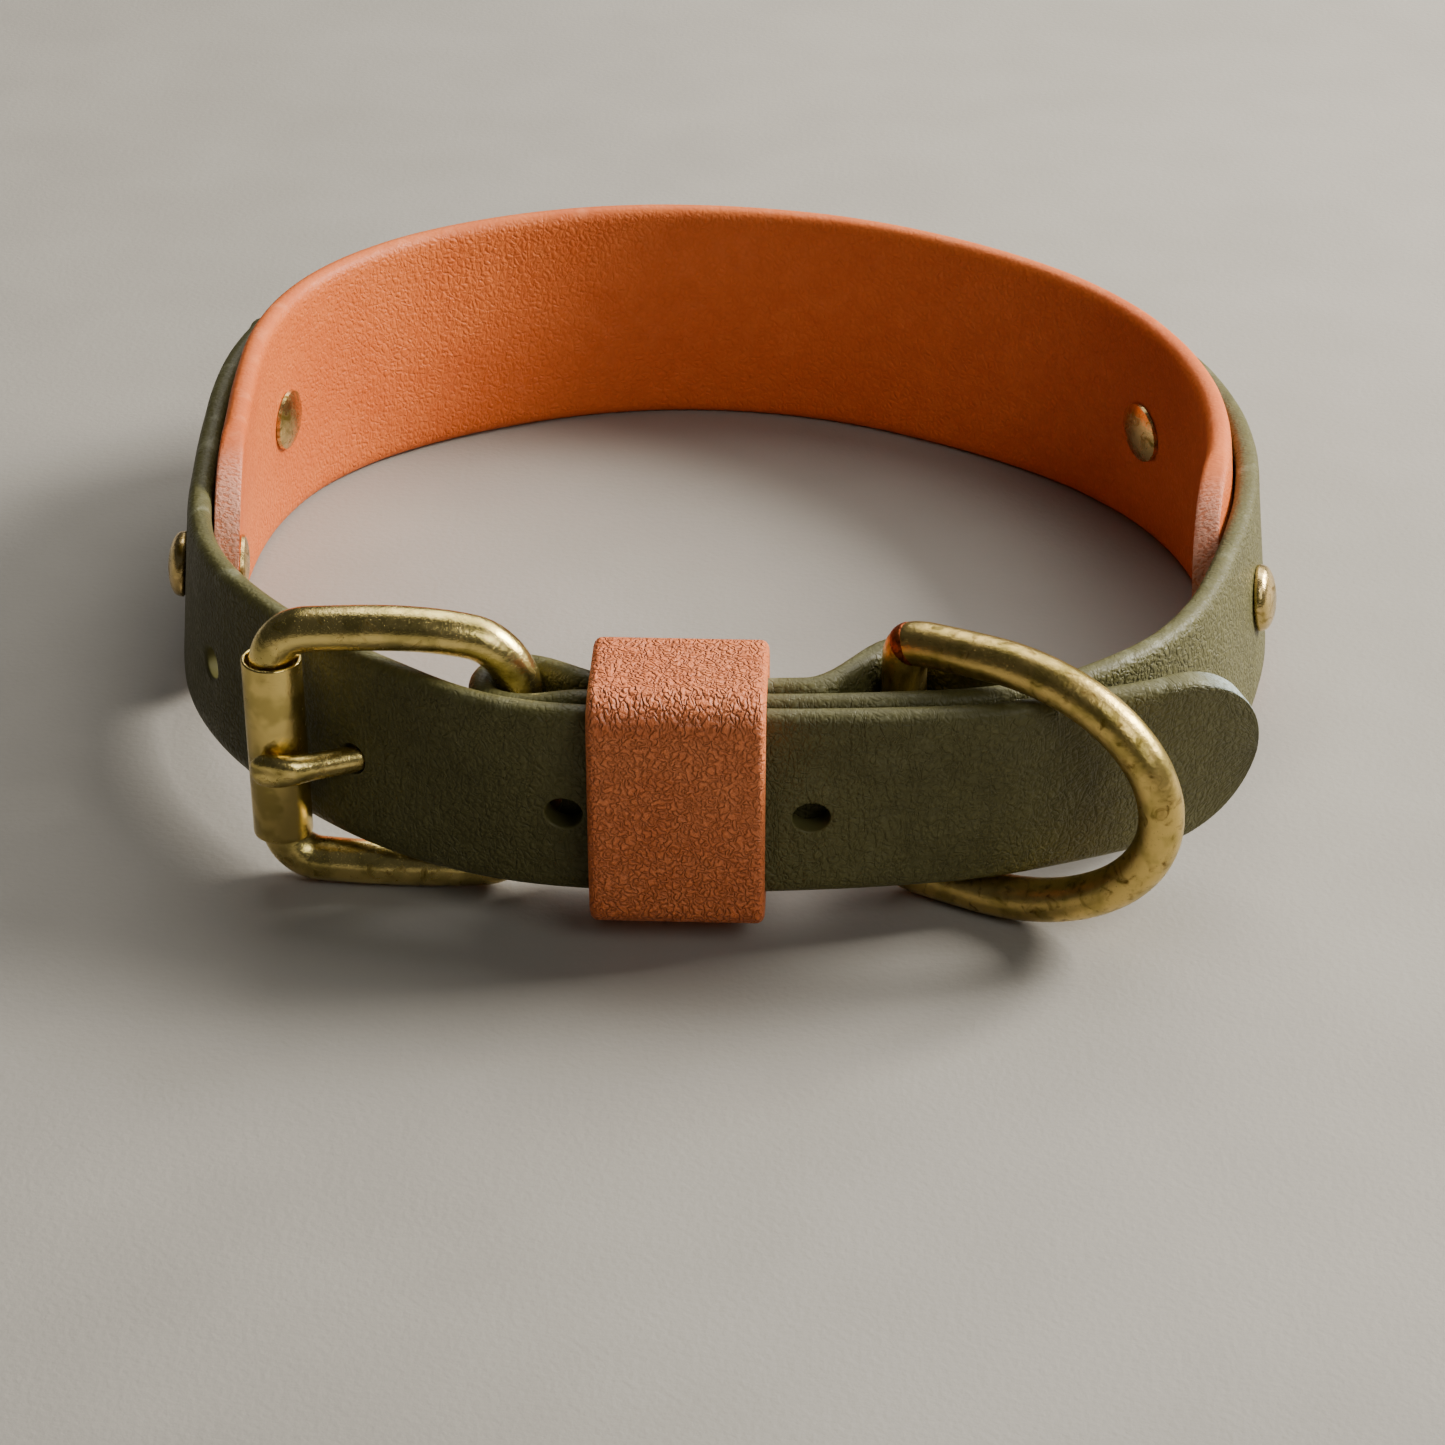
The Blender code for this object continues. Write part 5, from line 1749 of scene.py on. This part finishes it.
@dataclass
class Keeper:
    """The pebbled loop round the straps beside the buckle."""

    layout: Layout
    thickness: float = 0.0022
    play: float = 0.0006
    depth_play: float = 0.0004
    corner: float = 0.0022
    rivet_back: float = 0.0011
    head_clearance: float = 0.00045
    crown: float = 0.00025
    roll: float = 0.0009
    spacing: float = 0.0006

    def path(self, front: float, back: float, high: float) -> list[tuple[float, float]]:
        """The rounded rectangle that the middle of the loop's wall follows.

        Args:
            front: Depth of the middle of the outer wall.
            back: Depth of the middle of the inner wall.
            high: Half the height of the middle of the walls.

        Returns:
            Depth and height of each point.
        """
        radius = self.corner
        corners = ((front, 1, 0), (back, 1, 90), (back, -1, 180), (front, -1, 270))
        rough: list[tuple[float, float]] = []
        for depth, up, start in corners:
            centre = (depth - math.copysign(radius, depth), up * (high - radius))
            for k in range(CORNER_STEPS + 1):
                turn = math.radians(start + 90 * k / CORNER_STEPS)
                rough.append((centre[0] + radius * math.cos(turn), centre[1] + radius * math.sin(turn)))
        dense: list[tuple[float, float]] = []
        for k, spot in enumerate(rough):
            following = rough[(k + 1) % len(rough)]
            steps = max(1, int(math.dist(spot, following) / self.spacing))
            for n in range(steps):
                share = n / steps
                dense.append((mix(spot[0], following[0], share), mix(spot[1], following[1], share)))
        return dense

    def loop_mesh(self) -> bpy.types.Mesh:
        """The loop, crowned a little where it faces outwards.

        Returns:
            The mesh, with its lay and edge maps.
        """
        lay = self.layout
        place = lay.line.place(lay.keeper_at)
        outward = lay.layer_gap / 2 + lay.strap_thickness + self.depth_play
        inward = lay.layer_gap * 1.5 + 2 * lay.strap_thickness + self.rivet_back
        inward += self.head_clearance + self.depth_play
        wall = self.thickness / 2
        middle = lay.strap_height(place, lay.free_strap_rise / 2)
        high = (lay.strap_width + self.play) / 2 + wall
        dense = self.path(outward + wall, -(inward + wall), high)
        webbing = Webbing(lay.keeper_width, self.thickness, roll=self.roll, rows=22)
        outline, rolled = webbing.outline(1.0, 0.0)
        steps = np.linalg.norm(np.roll(outline, -1, axis=0) - outline, axis=1)
        around = np.concatenate([[0.0], np.cumsum(steps)])
        edge = [(0.0, r) for r in [*rolled, rolled[0]]]
        rings, lays, edges = [], [], []
        walked = 0.0
        for k, (depth, up) in enumerate(dense):
            before, after = dense[k - 1], dense[(k + 1) % len(dense)]
            run = np.array([after[0] - before[0], after[1] - before[1]])
            run = run / np.linalg.norm(run)
            crown = self.crown * max(0.0, 1 - (up / high) ** 2) if depth > 0 else 0.0
            ring = []
            for across, sideways in outline:
                out = depth + crown + run[1] * across
                spot = place.point + place.out * out + place.along * sideways
                ring.append((spot[0], spot[1], middle + (up - run[0] * across)))
            rings.append(ring)
            lays.append([(walked, a) for a in around])
            edges.append(edge)
            walked += math.dist((depth, up), after)
        lays.append([(walked, a) for a in around])
        edges.append(edge)
        return loft("keeper_loop", np.array(rings), np.array(lays), np.array(edges), closed=True)

    def build(self, effects: Effects) -> bpy.types.Object:
        """Builds and dresses the keeper.

        Args:
            effects: The shared node groups.

        Returns:
            The finished piece.
        """
        obj = piece("keeper_loop", self.loop_mesh(), PEBBLED.material(effects))
        return settle(obj, Body.COLLAR, Slot.TERRACOTTA, "keeper")


@dataclass
class Buckle:
    """The roller buckle: wire frame, roller and prong."""

    layout: Layout
    corner: float = 0.0034
    bar_corner: float = 0.0042
    bow: float = 0.0004
    rail_spacing: float = 0.0009
    side_spacing: float = 0.0012
    upper_swell: float = 0.055
    lower_swell: float = 0.04
    swell_from: float = 0.45
    roller_wall: float = 0.00035
    roller_play: float = 0.0006
    prong_wire: float = 0.0025
    prong_rise: float = 0.0008
    prong_loop: float = 272.0
    prong_tip_bend: float = 33.0
    tip_width: float = 1.32
    tip_thickness: float = 0.62
    tip_from: float = 0.6
    loop_clearance: float = 0.00015

    def frame_mesh(self) -> bpy.types.Mesh:
        """The frame's wire: bar, two rails that bow outwards, and the side under the roller.

        Returns:
            The mesh.
        """
        lay = self.layout
        bar, roller = lay.bar(), lay.roller()
        along = (roller - bar) / lay.buckle_length
        outward = np.array([-along[1], along[0]])
        outward = outward * math.copysign(1.0, np.dot(outward, lay.line.place(0.0).out))
        low, high = lay.bar_radius, lay.buckle_height - lay.bar_radius
        radius, length = self.corner, lay.buckle_length
        near_radius = self.bar_corner
        half = []
        for k in range(CORNER_STEPS + 1):
            turn = math.radians(180 + 90 * k / CORNER_STEPS)
            u = near_radius * (1 + math.cos(turn))
            half.append((u, low + near_radius * (1 + math.sin(turn))))
        half += [(u, low) for u in spread(near_radius, length - radius, self.rail_spacing)][1:-1]
        for k in range(CORNER_STEPS + 1):
            turn = math.radians(270 + 90 * k / CORNER_STEPS)
            reach = length - radius + radius * math.cos(turn)
            half.append((reach, low + radius + radius * math.sin(turn)))
        top = [(u, low + high - z) for u, z in reversed(half)]
        far = [(length, z) for z in spread(half[-1][1], top[0][1], self.side_spacing)][1:-1]
        near = [(0.0, z) for z in spread(top[-1][1], half[0][1], self.side_spacing)][1:-1]
        centre = lay.buckle_height / 2
        rows = []
        for u, z in half + far + top + near:
            share = u / length
            middle = 4 * share * (1 - share)
            sunk = -mix(lay.bar_drop, lay.upper_bulge, share)
            bulge = lay.lower_bulge if z < centre else sunk
            bulge *= min(1.0, abs(z - centre) / (centre - low - radius))
            upper = float(np.clip((z / lay.buckle_height - 0.8) / 0.15, 0.0, 1.0))
            lower = float(np.clip((0.2 - z / lay.buckle_height) / 0.15, 0.0, 1.0))
            swell = self.upper_swell * upper * (share - self.swell_from)
            swell += self.lower_swell * lower * (share - self.swell_from)
            z += bulge * (1 - middle)
            spot = bar + along * u + outward * self.bow * middle
            reach = lay.bar_radius * (1.0 + swell)
            rows.append((spot[0], spot[1], z, reach, reach))
        return wire_mesh("buckle_wire", np.array(rows), closed=True, sides=36)

    def roller_mesh(self) -> bpy.types.Mesh:
        """The thin tube on the frame's far side, with rounded rims.

        Returns:
            The mesh.
        """
        lay = self.layout
        outer = lay.roller_diameter / 2
        half = (lay.strap_width - self.roller_play) / 2
        rim = self.roller_wall / 2
        profile = []
        for side in (1, -1):
            for k in range(7):
                turn = math.pi * k / 6
                across = math.cos(turn) * rim * side
                profile.append((outer - rim + across, side * (half - rim + rim * math.sin(turn))))
        mesh = lathe("roller_tube", profile, 72, closed=True)
        x, y = lay.roller()
        height = lay.buckle_height / 2 + (lay.lower_bulge - lay.upper_bulge) / 2
        mesh.transform(Matrix.Translation((x, y, height)))
        return mesh

    def prong_rows(self) -> np.ndarray:
        """The prong's line with its half width and half height at each point.

        Returns:
            Rows of place, half width and half height.
        """
        lay = self.layout
        bar, roller = lay.bar(), lay.roller()
        place = lay.line.place(lay.prong_hole)
        height = lay.hole_height(place)
        hole = lay.point(place, lay.strap_offset, height)[:2]
        wire = self.prong_wire / 2
        loop = lay.bar_radius + self.loop_clearance + wire
        over = lay.roller_diameter / 2 + lay.layer_gap + wire
        to_hole, to_roller = hole - bar, roller - hole
        leave = math.atan2(to_hole[1], to_hole[0])
        leave -= math.acos(loop / np.linalg.norm(to_hole))
        heading = math.atan2(to_roller[1], to_roller[0])
        heading += math.asin(over / np.linalg.norm(to_roller))

        def on(centre: np.ndarray, reach: float, angle: float) -> np.ndarray:
            """A plan position on a circle."""
            return centre + reach * np.array([math.cos(angle), math.sin(angle)])

        rows = []
        for k in range(LOOP_STEPS + 1):
            angle = leave - math.radians(self.prong_loop) * (1 - k / LOOP_STEPS)
            rows.append((*on(bar, loop, angle), height, wire, wire))
        start = on(bar, loop, leave)
        length = np.linalg.norm(hole - start)
        begin = np.array([-math.sin(leave), math.cos(leave)]) * length
        end = np.array([math.cos(heading), math.sin(heading)]) * length
        for k in range(1, 15):
            t = k / 14
            spot = (2 * t**3 - 3 * t**2 + 1) * start + (t**3 - 2 * t**2 + t) * begin
            spot = spot + (3 * t**2 - 2 * t**3) * hole + (t**3 - t**2) * end
            rows.append((*spot, height, wire, wire))
        first = heading + math.pi / 2
        last = math.radians(-90.0 - self.prong_tip_bend)
        first -= 2 * math.pi * round((first - last) / (2 * math.pi))
        touch = on(roller, over, first)
        for t in (0.2, 0.4, 0.6, 0.8):
            spot = mix(hole, touch, t)
            rows.append((*spot, height + self.prong_rise * t, wire, wire))
        for k in range(17):
            t = k / 16
            swell = math.sin(math.pi * min(1.0, 0.12 + 0.62 * t))
            tall = wire * mix(1.0, self.tip_width, max(0.0, swell) if t < 0.7 else 1.0)
            flat = wire * mix(1.0, self.tip_thickness, min(1.0, t * 1.6))
            if t > self.tip_from:
                end_share = (t - self.tip_from) / (1 - self.tip_from)
                tall *= math.sqrt(max(0.03, 1 - end_share**2))
                flat *= math.sqrt(max(0.05, 1 - end_share**3))
            reach = over - wire + flat
            spot = on(roller, reach, mix(first, last, t))
            rise = self.prong_rise * (1 - 0.25 * t * t)
            rows.append((*spot, height + rise, flat, tall))
        return np.array(rows)

    def prong_direction(self) -> np.ndarray:
        """The way that the prong goes through the strap.

        Returns:
            The direction, of any length.
        """
        lay = self.layout
        rows = self.prong_rows()[:, :3]
        place = lay.line.place(lay.prong_hole)
        centre = lay.point(place, lay.strap_offset, lay.hole_height(place))
        nearest = int(np.argmin(np.linalg.norm(rows - centre, axis=1)))
        return rows[nearest + 1] - rows[nearest - 1]

    def build(self, effects: Effects) -> list[bpy.types.Object]:
        """Builds and dresses the frame, the roller and the prong.

        Args:
            effects: The shared node groups.

        Returns:
            The finished pieces.
        """
        brass = BRASS.material(effects)
        frame = piece("buckle_wire", self.frame_mesh(), brass)
        settle(frame, Body.COLLAR, Slot.BRASS, "buckle_frame")
        roller = piece("roller_tube", self.roller_mesh(), ROLLED_BRASS.material(effects))
        settle(roller, Body.ROLLER, Slot.BRASS, "roller")
        prong_mesh = wire_mesh("prong_tongue", self.prong_rows(), closed=False, sides=28)
        prong = piece("prong_tongue", prong_mesh, brass)
        settle(prong, Body.COLLAR, Slot.BRASS, "prong")
        return [frame, roller, prong]


@dataclass
class DRing:
    """The D-ring and the brazed joint at its upper corner."""

    layout: Layout
    reach: float = 0.0252
    straight: float = 0.0085
    splay: float = 0.0003
    play: float = 0.0008
    corner: float = 0.0014

    def rows(self, turn: float) -> np.ndarray:
        """The ring's closed line, turned about its bar.

        Args:
            turn: Direction of the ring's bow in plan, in radians.

        Returns:
            Rows of place, half width and half height.
        """
        lay = self.layout
        low = (lay.strap_width + self.play + lay.wire) / 2
        full = low + self.splay
        half = [(0.0, low * share) for share in (0.0, 0.2, 0.4, 0.6)]
        half += [(0.0, low - self.corner * 1.2)]
        for k in range(1, 6):
            turn_corner = math.pi / 2 * k / 6
            inset = self.corner * (1 - math.cos(turn_corner))
            half.append((inset, low - self.corner * (1 - math.sin(turn_corner))))
        for k in range(1, 5):
            reach = mix(self.corner * 1.4, self.straight, k / 5)
            splay = self.splay * (1 - reach / self.straight) ** 2
            half.append((reach, full - splay))
        for k in range(LOOP_STEPS + 1):
            bend = math.pi / 2 * k / LOOP_STEPS
            reach = self.straight + (self.reach - self.straight) * math.sin(bend)
            half.append((reach, full * math.cos(bend)))
        outline = half[:-1] + [(self.reach, 0.0)]
        outline += [(reach, -up) for reach, up in reversed(half[1:-1])]
        bar = lay.ring_bar()
        middle = full + lay.bar_radius
        rows = []
        for reach, up in outline:
            x = bar[0] + reach * math.cos(turn)
            y = bar[1] + reach * math.sin(turn)
            rows.append((x, y, middle + up, lay.bar_radius, lay.bar_radius))
        return upsample(np.array(rows), 2, closed=True)

    def braze_mesh(self, turn: float) -> bpy.types.Mesh:
        """The uneven bead of braze where the wire's ends meet.

        Args:
            turn: Direction of the ring's bow in plan, in radians.

        Returns:
            The bead's mesh.
        """
        lay = self.layout
        low = (lay.strap_width + self.play + lay.wire) / 2
        bar = lay.ring_bar()
        middle = low + self.splay + lay.bar_radius
        rows = []
        for k in range(15):
            share = k / 14
            reach = mix(-0.0002, 0.0009, share)
            up = mix(low - 0.0007, low + 0.0001, share)
            x = bar[0] + reach * math.cos(turn)
            y = bar[1] + reach * math.sin(turn)
            bulge = math.sqrt(max(0.0, 1 - (2 * share - 1) ** 2))
            size = lay.bar_radius * (0.93 + 0.11 * bulge)
            rows.append((x, y, middle + up, size, size))
        return wire_mesh("d_ring_braze", np.array(rows), closed=False, sides=36, worn=0.00016)

    def build(self, effects: Effects) -> list[bpy.types.Object]:
        """Builds and dresses the ring and its braze.

        Args:
            effects: The shared node groups.

        Returns:
            The finished pieces.
        """
        low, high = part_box("d_ring")
        bar = self.layout.ring_bar()
        radius = self.layout.bar_radius
        turn = math.atan2(low[1] + radius - bar[1], high[0] - radius - bar[0])
        brass = RING_BRASS.material(effects)
        ring = piece("d_ring_wire", wire_mesh("d_ring_wire", self.rows(turn), True, 40), brass)
        settle(ring, Body.D_RING, Slot.BRASS, "d_ring")
        bead = piece("d_ring_braze", self.braze_mesh(turn), BRAZE.material(effects))
        settle(bead, Body.D_RING, Slot.BRASS)
        return [ring, bead]


@dataclass
class Rivets:
    """Four rivets through the panel and two that hold the fold."""

    layout: Layout
    radius: float = 0.0033
    head: float = 0.0018
    back: float = 0.0011
    shank: float = 0.0012
    clearance: float = 0.0002
    rim: float = 0.96
    shoulder: float = 0.30
    fold_radius: float = 0.0025
    fold_clearance: float = 0.00045

    def profile(self, grip: float) -> list[tuple[float, float]]:
        """Half outline of a panel rivet, from the top of its head to its back.

        Args:
            grip: Thickness of the layers that the rivet holds.

        Returns:
            Radius and height of each point.
        """
        top = grip / 2 + self.clearance * 0.2
        points = [(AXIS_RADIUS, top + self.head)]
        for k in range(1, 13):
            angle = math.pi / 2 * k / 13
            height = mix(self.shoulder, 1.0, math.cos(angle)) * self.head
            points.append((self.radius * 0.985 * math.sin(angle), top + height))
        points += [(self.radius, top + 0.22 * self.head), (self.radius, top + 0.08 * self.head)]
        points += [(self.radius * self.rim, top), (self.shank, top - 0.00002)]
        points += [(self.shank, -top + 0.00002), (self.radius * self.rim, -top)]
        points += [(self.radius, -top - 0.15 * self.back), (self.radius * 0.97, -top - 0.45 * self.back)]
        for k in range(1, 7):
            share = 1 - k / 7
            points.append((self.radius * 0.9 * share, -top - self.back * (1 - 0.4 * share**2)))
        points.append((AXIS_RADIUS, -top - self.back))
        return points

    def build(self, effects: Effects) -> list[bpy.types.Object]:
        """Builds and dresses the rivets.

        Args:
            effects: The shared node groups.

        Returns:
            The finished pieces.
        """
        lay = self.layout
        brass = RIVET_BRASS.material(effects)
        grip = lay.panel_thickness + lay.strap_thickness + lay.layer_gap
        middle = (lay.strap_thickness - lay.panel_thickness) / 2
        names = ("right_front", "right_back", "left_back", "left_front")
        made = []
        for name, distance in zip(names, lay.rivets):
            place = lay.line.place(distance)
            mesh = lathe("rivet_" + name, self.profile(grip), 48)
            mesh.transform(facing(lay.point(place, middle, lay.strap_height(place)), place.leaned()))
            obj = piece("rivet_head_" + name, mesh, brass)
            made.append(settle(obj, Body.COLLAR, Slot.BRASS, "rivet_" + name))
        grip = lay.strap_thickness + lay.layer_step
        low = -(grip / 2 + self.fold_clearance)
        top = grip / 2 - self.clearance
        radius = self.fold_radius
        points = [(AXIS_RADIUS, top), (self.shank, top), (self.shank, low), (radius * 0.95, low)]
        points += [(radius, low - 0.12 * self.back), (radius * 0.98, low - 0.4 * self.back)]
        points += [(radius * 0.7, low - 0.85 * self.back), (radius * 0.4, low - self.back)]
        points.append((AXIS_RADIUS, low - self.back))
        for name, distance in (("keeper", lay.keeper_at), ("ring", lay.ring_rivet_at)):
            place = lay.line.place(distance)
            offset = -(lay.strap_offset + lay.layer_step / 2)
            mesh = lathe("fold_rivet_" + name, points, 40)
            mesh.transform(facing(lay.point(place, offset, lay.strap_height(place)), place.leaned()))
            obj = piece("fold_rivet_head_" + name, mesh, brass)
            made.append(settle(obj, Body.COLLAR, Slot.BRASS, "fold_rivet_" + name))
        return made


@dataclass(frozen=True)
class Lamp:
    """A square soft light.

    Args:
        name: The light's name.
        place: Where it hangs.
        size: Its side.
        power: In watts.
        tint: Its colour.
    """

    name: str
    place: tuple[float, float, float]
    size: float
    power: float
    tint: tuple[float, float, float]


LAMPS = (
    Lamp("key_light", (0.50, 0.14, 0.34), 0.24, 10.0, (1.0, 0.97, 0.92)),
    Lamp("back_light", (0.12, 0.36, 0.54), 0.62, 3.8, (1.0, 0.98, 0.95)),
    Lamp("front_fill", (0.34, -0.50, 0.50), 0.34, 1.5, (1.0, 0.99, 0.97)),
)


@dataclass
class Studio:
    """Table, lights and camera."""

    shift: np.ndarray
    camera_back: float = 0.327
    camera_height: float = 0.1857
    camera_pitch: float = 59.0
    lens: float = 89.69
    table: float = 3.0
    table_drop: float = 0.0001
    aim_height: float = 0.012
    air_colour: tuple[float, float, float, float] = (0.80, 0.79, 0.77, 1.0)
    air_strength: float = 0.07

    def hang(self, lamp: Lamp) -> bpy.types.Object:
        """Hangs a light that faces the collar.

        Args:
            lamp: The light's sizes.

        Returns:
            The light.
        """
        data = bpy.data.lights.new(lamp.name, "AREA")
        data.shape = "SQUARE"
        data.size = lamp.size
        data.energy = lamp.power
        data.color = lamp.tint
        obj = bpy.data.objects.new(lamp.name, data)
        bpy.context.scene.collection.objects.link(obj)
        obj.location = lamp.place
        aim = Vector((0.0, 0.0, self.aim_height)) - Vector(lamp.place)
        obj.rotation_euler = aim.to_track_quat("-Z", "Y").to_euler()
        return obj

    def build(self, effects: Effects) -> bpy.types.Object:
        """Builds the table, the lights, the surroundings and the camera.

        Args:
            effects: The shared node groups.

        Returns:
            The camera.
        """
        half = self.table / 2
        mesh = bpy.data.meshes.new("table_top")
        corners = [(-half, -half, 0), (half, -half, 0), (half, half, 0), (-half, half, 0)]
        mesh.from_pydata(corners, [], [(0, 1, 2, 3)])
        floor = piece("table_top", mesh, FloorFinish().material(effects))
        floor.location = (0.0, 0.0, -self.table_drop)
        for lamp in LAMPS:
            self.hang(lamp)
        world = bpy.data.worlds.new("studio_air")
        world.use_nodes = True
        air = world.node_tree.nodes["Background"]
        air.inputs["Color"].default_value = self.air_colour
        air.inputs["Strength"].default_value = self.air_strength
        bpy.context.scene.world = world
        data = bpy.data.cameras.new("photo_view")
        data.lens = self.lens
        data.sensor_width = 36.0
        camera = bpy.data.objects.new("photo_view", data)
        bpy.context.scene.collection.objects.link(camera)
        camera.location = (
            float(self.shift[0]),
            float(self.shift[1]) - self.camera_back,
            self.camera_height,
        )
        camera.rotation_euler = (math.radians(self.camera_pitch), 0.0, 0.0)
        bpy.context.scene.camera = camera
        return camera


def main() -> None:
    """Dresses the frame, piece by piece."""
    logging.basicConfig(level=logging.INFO, format="%(name)s: %(message)s")
    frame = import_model()
    for stray in [o for o in bpy.data.objects if o.name in ("Cube", "Light", "Camera")]:
        bpy.data.objects.remove(stray, do_unlink=True)
    layout = Layout()
    axes = {joint["name"]: joint["pos_m"] for joint in frame["joints"]}
    layout.shift_to(axes["d_ring_swing"])
    effects = Effects()
    studio = Studio(layout.line.shift)
    studio.build(effects)
    buckle = Buckle(layout)
    Panel(layout).build(effects)
    HoleStrap(layout).build(effects, buckle.prong_direction())
    BuckleStrap(layout).build(effects)
    Keeper(layout).build(effects)
    buckle.build(effects)
    DRing(layout).build(effects)
    Rivets(layout).build(effects)


if __name__ == "__main__":
    main()
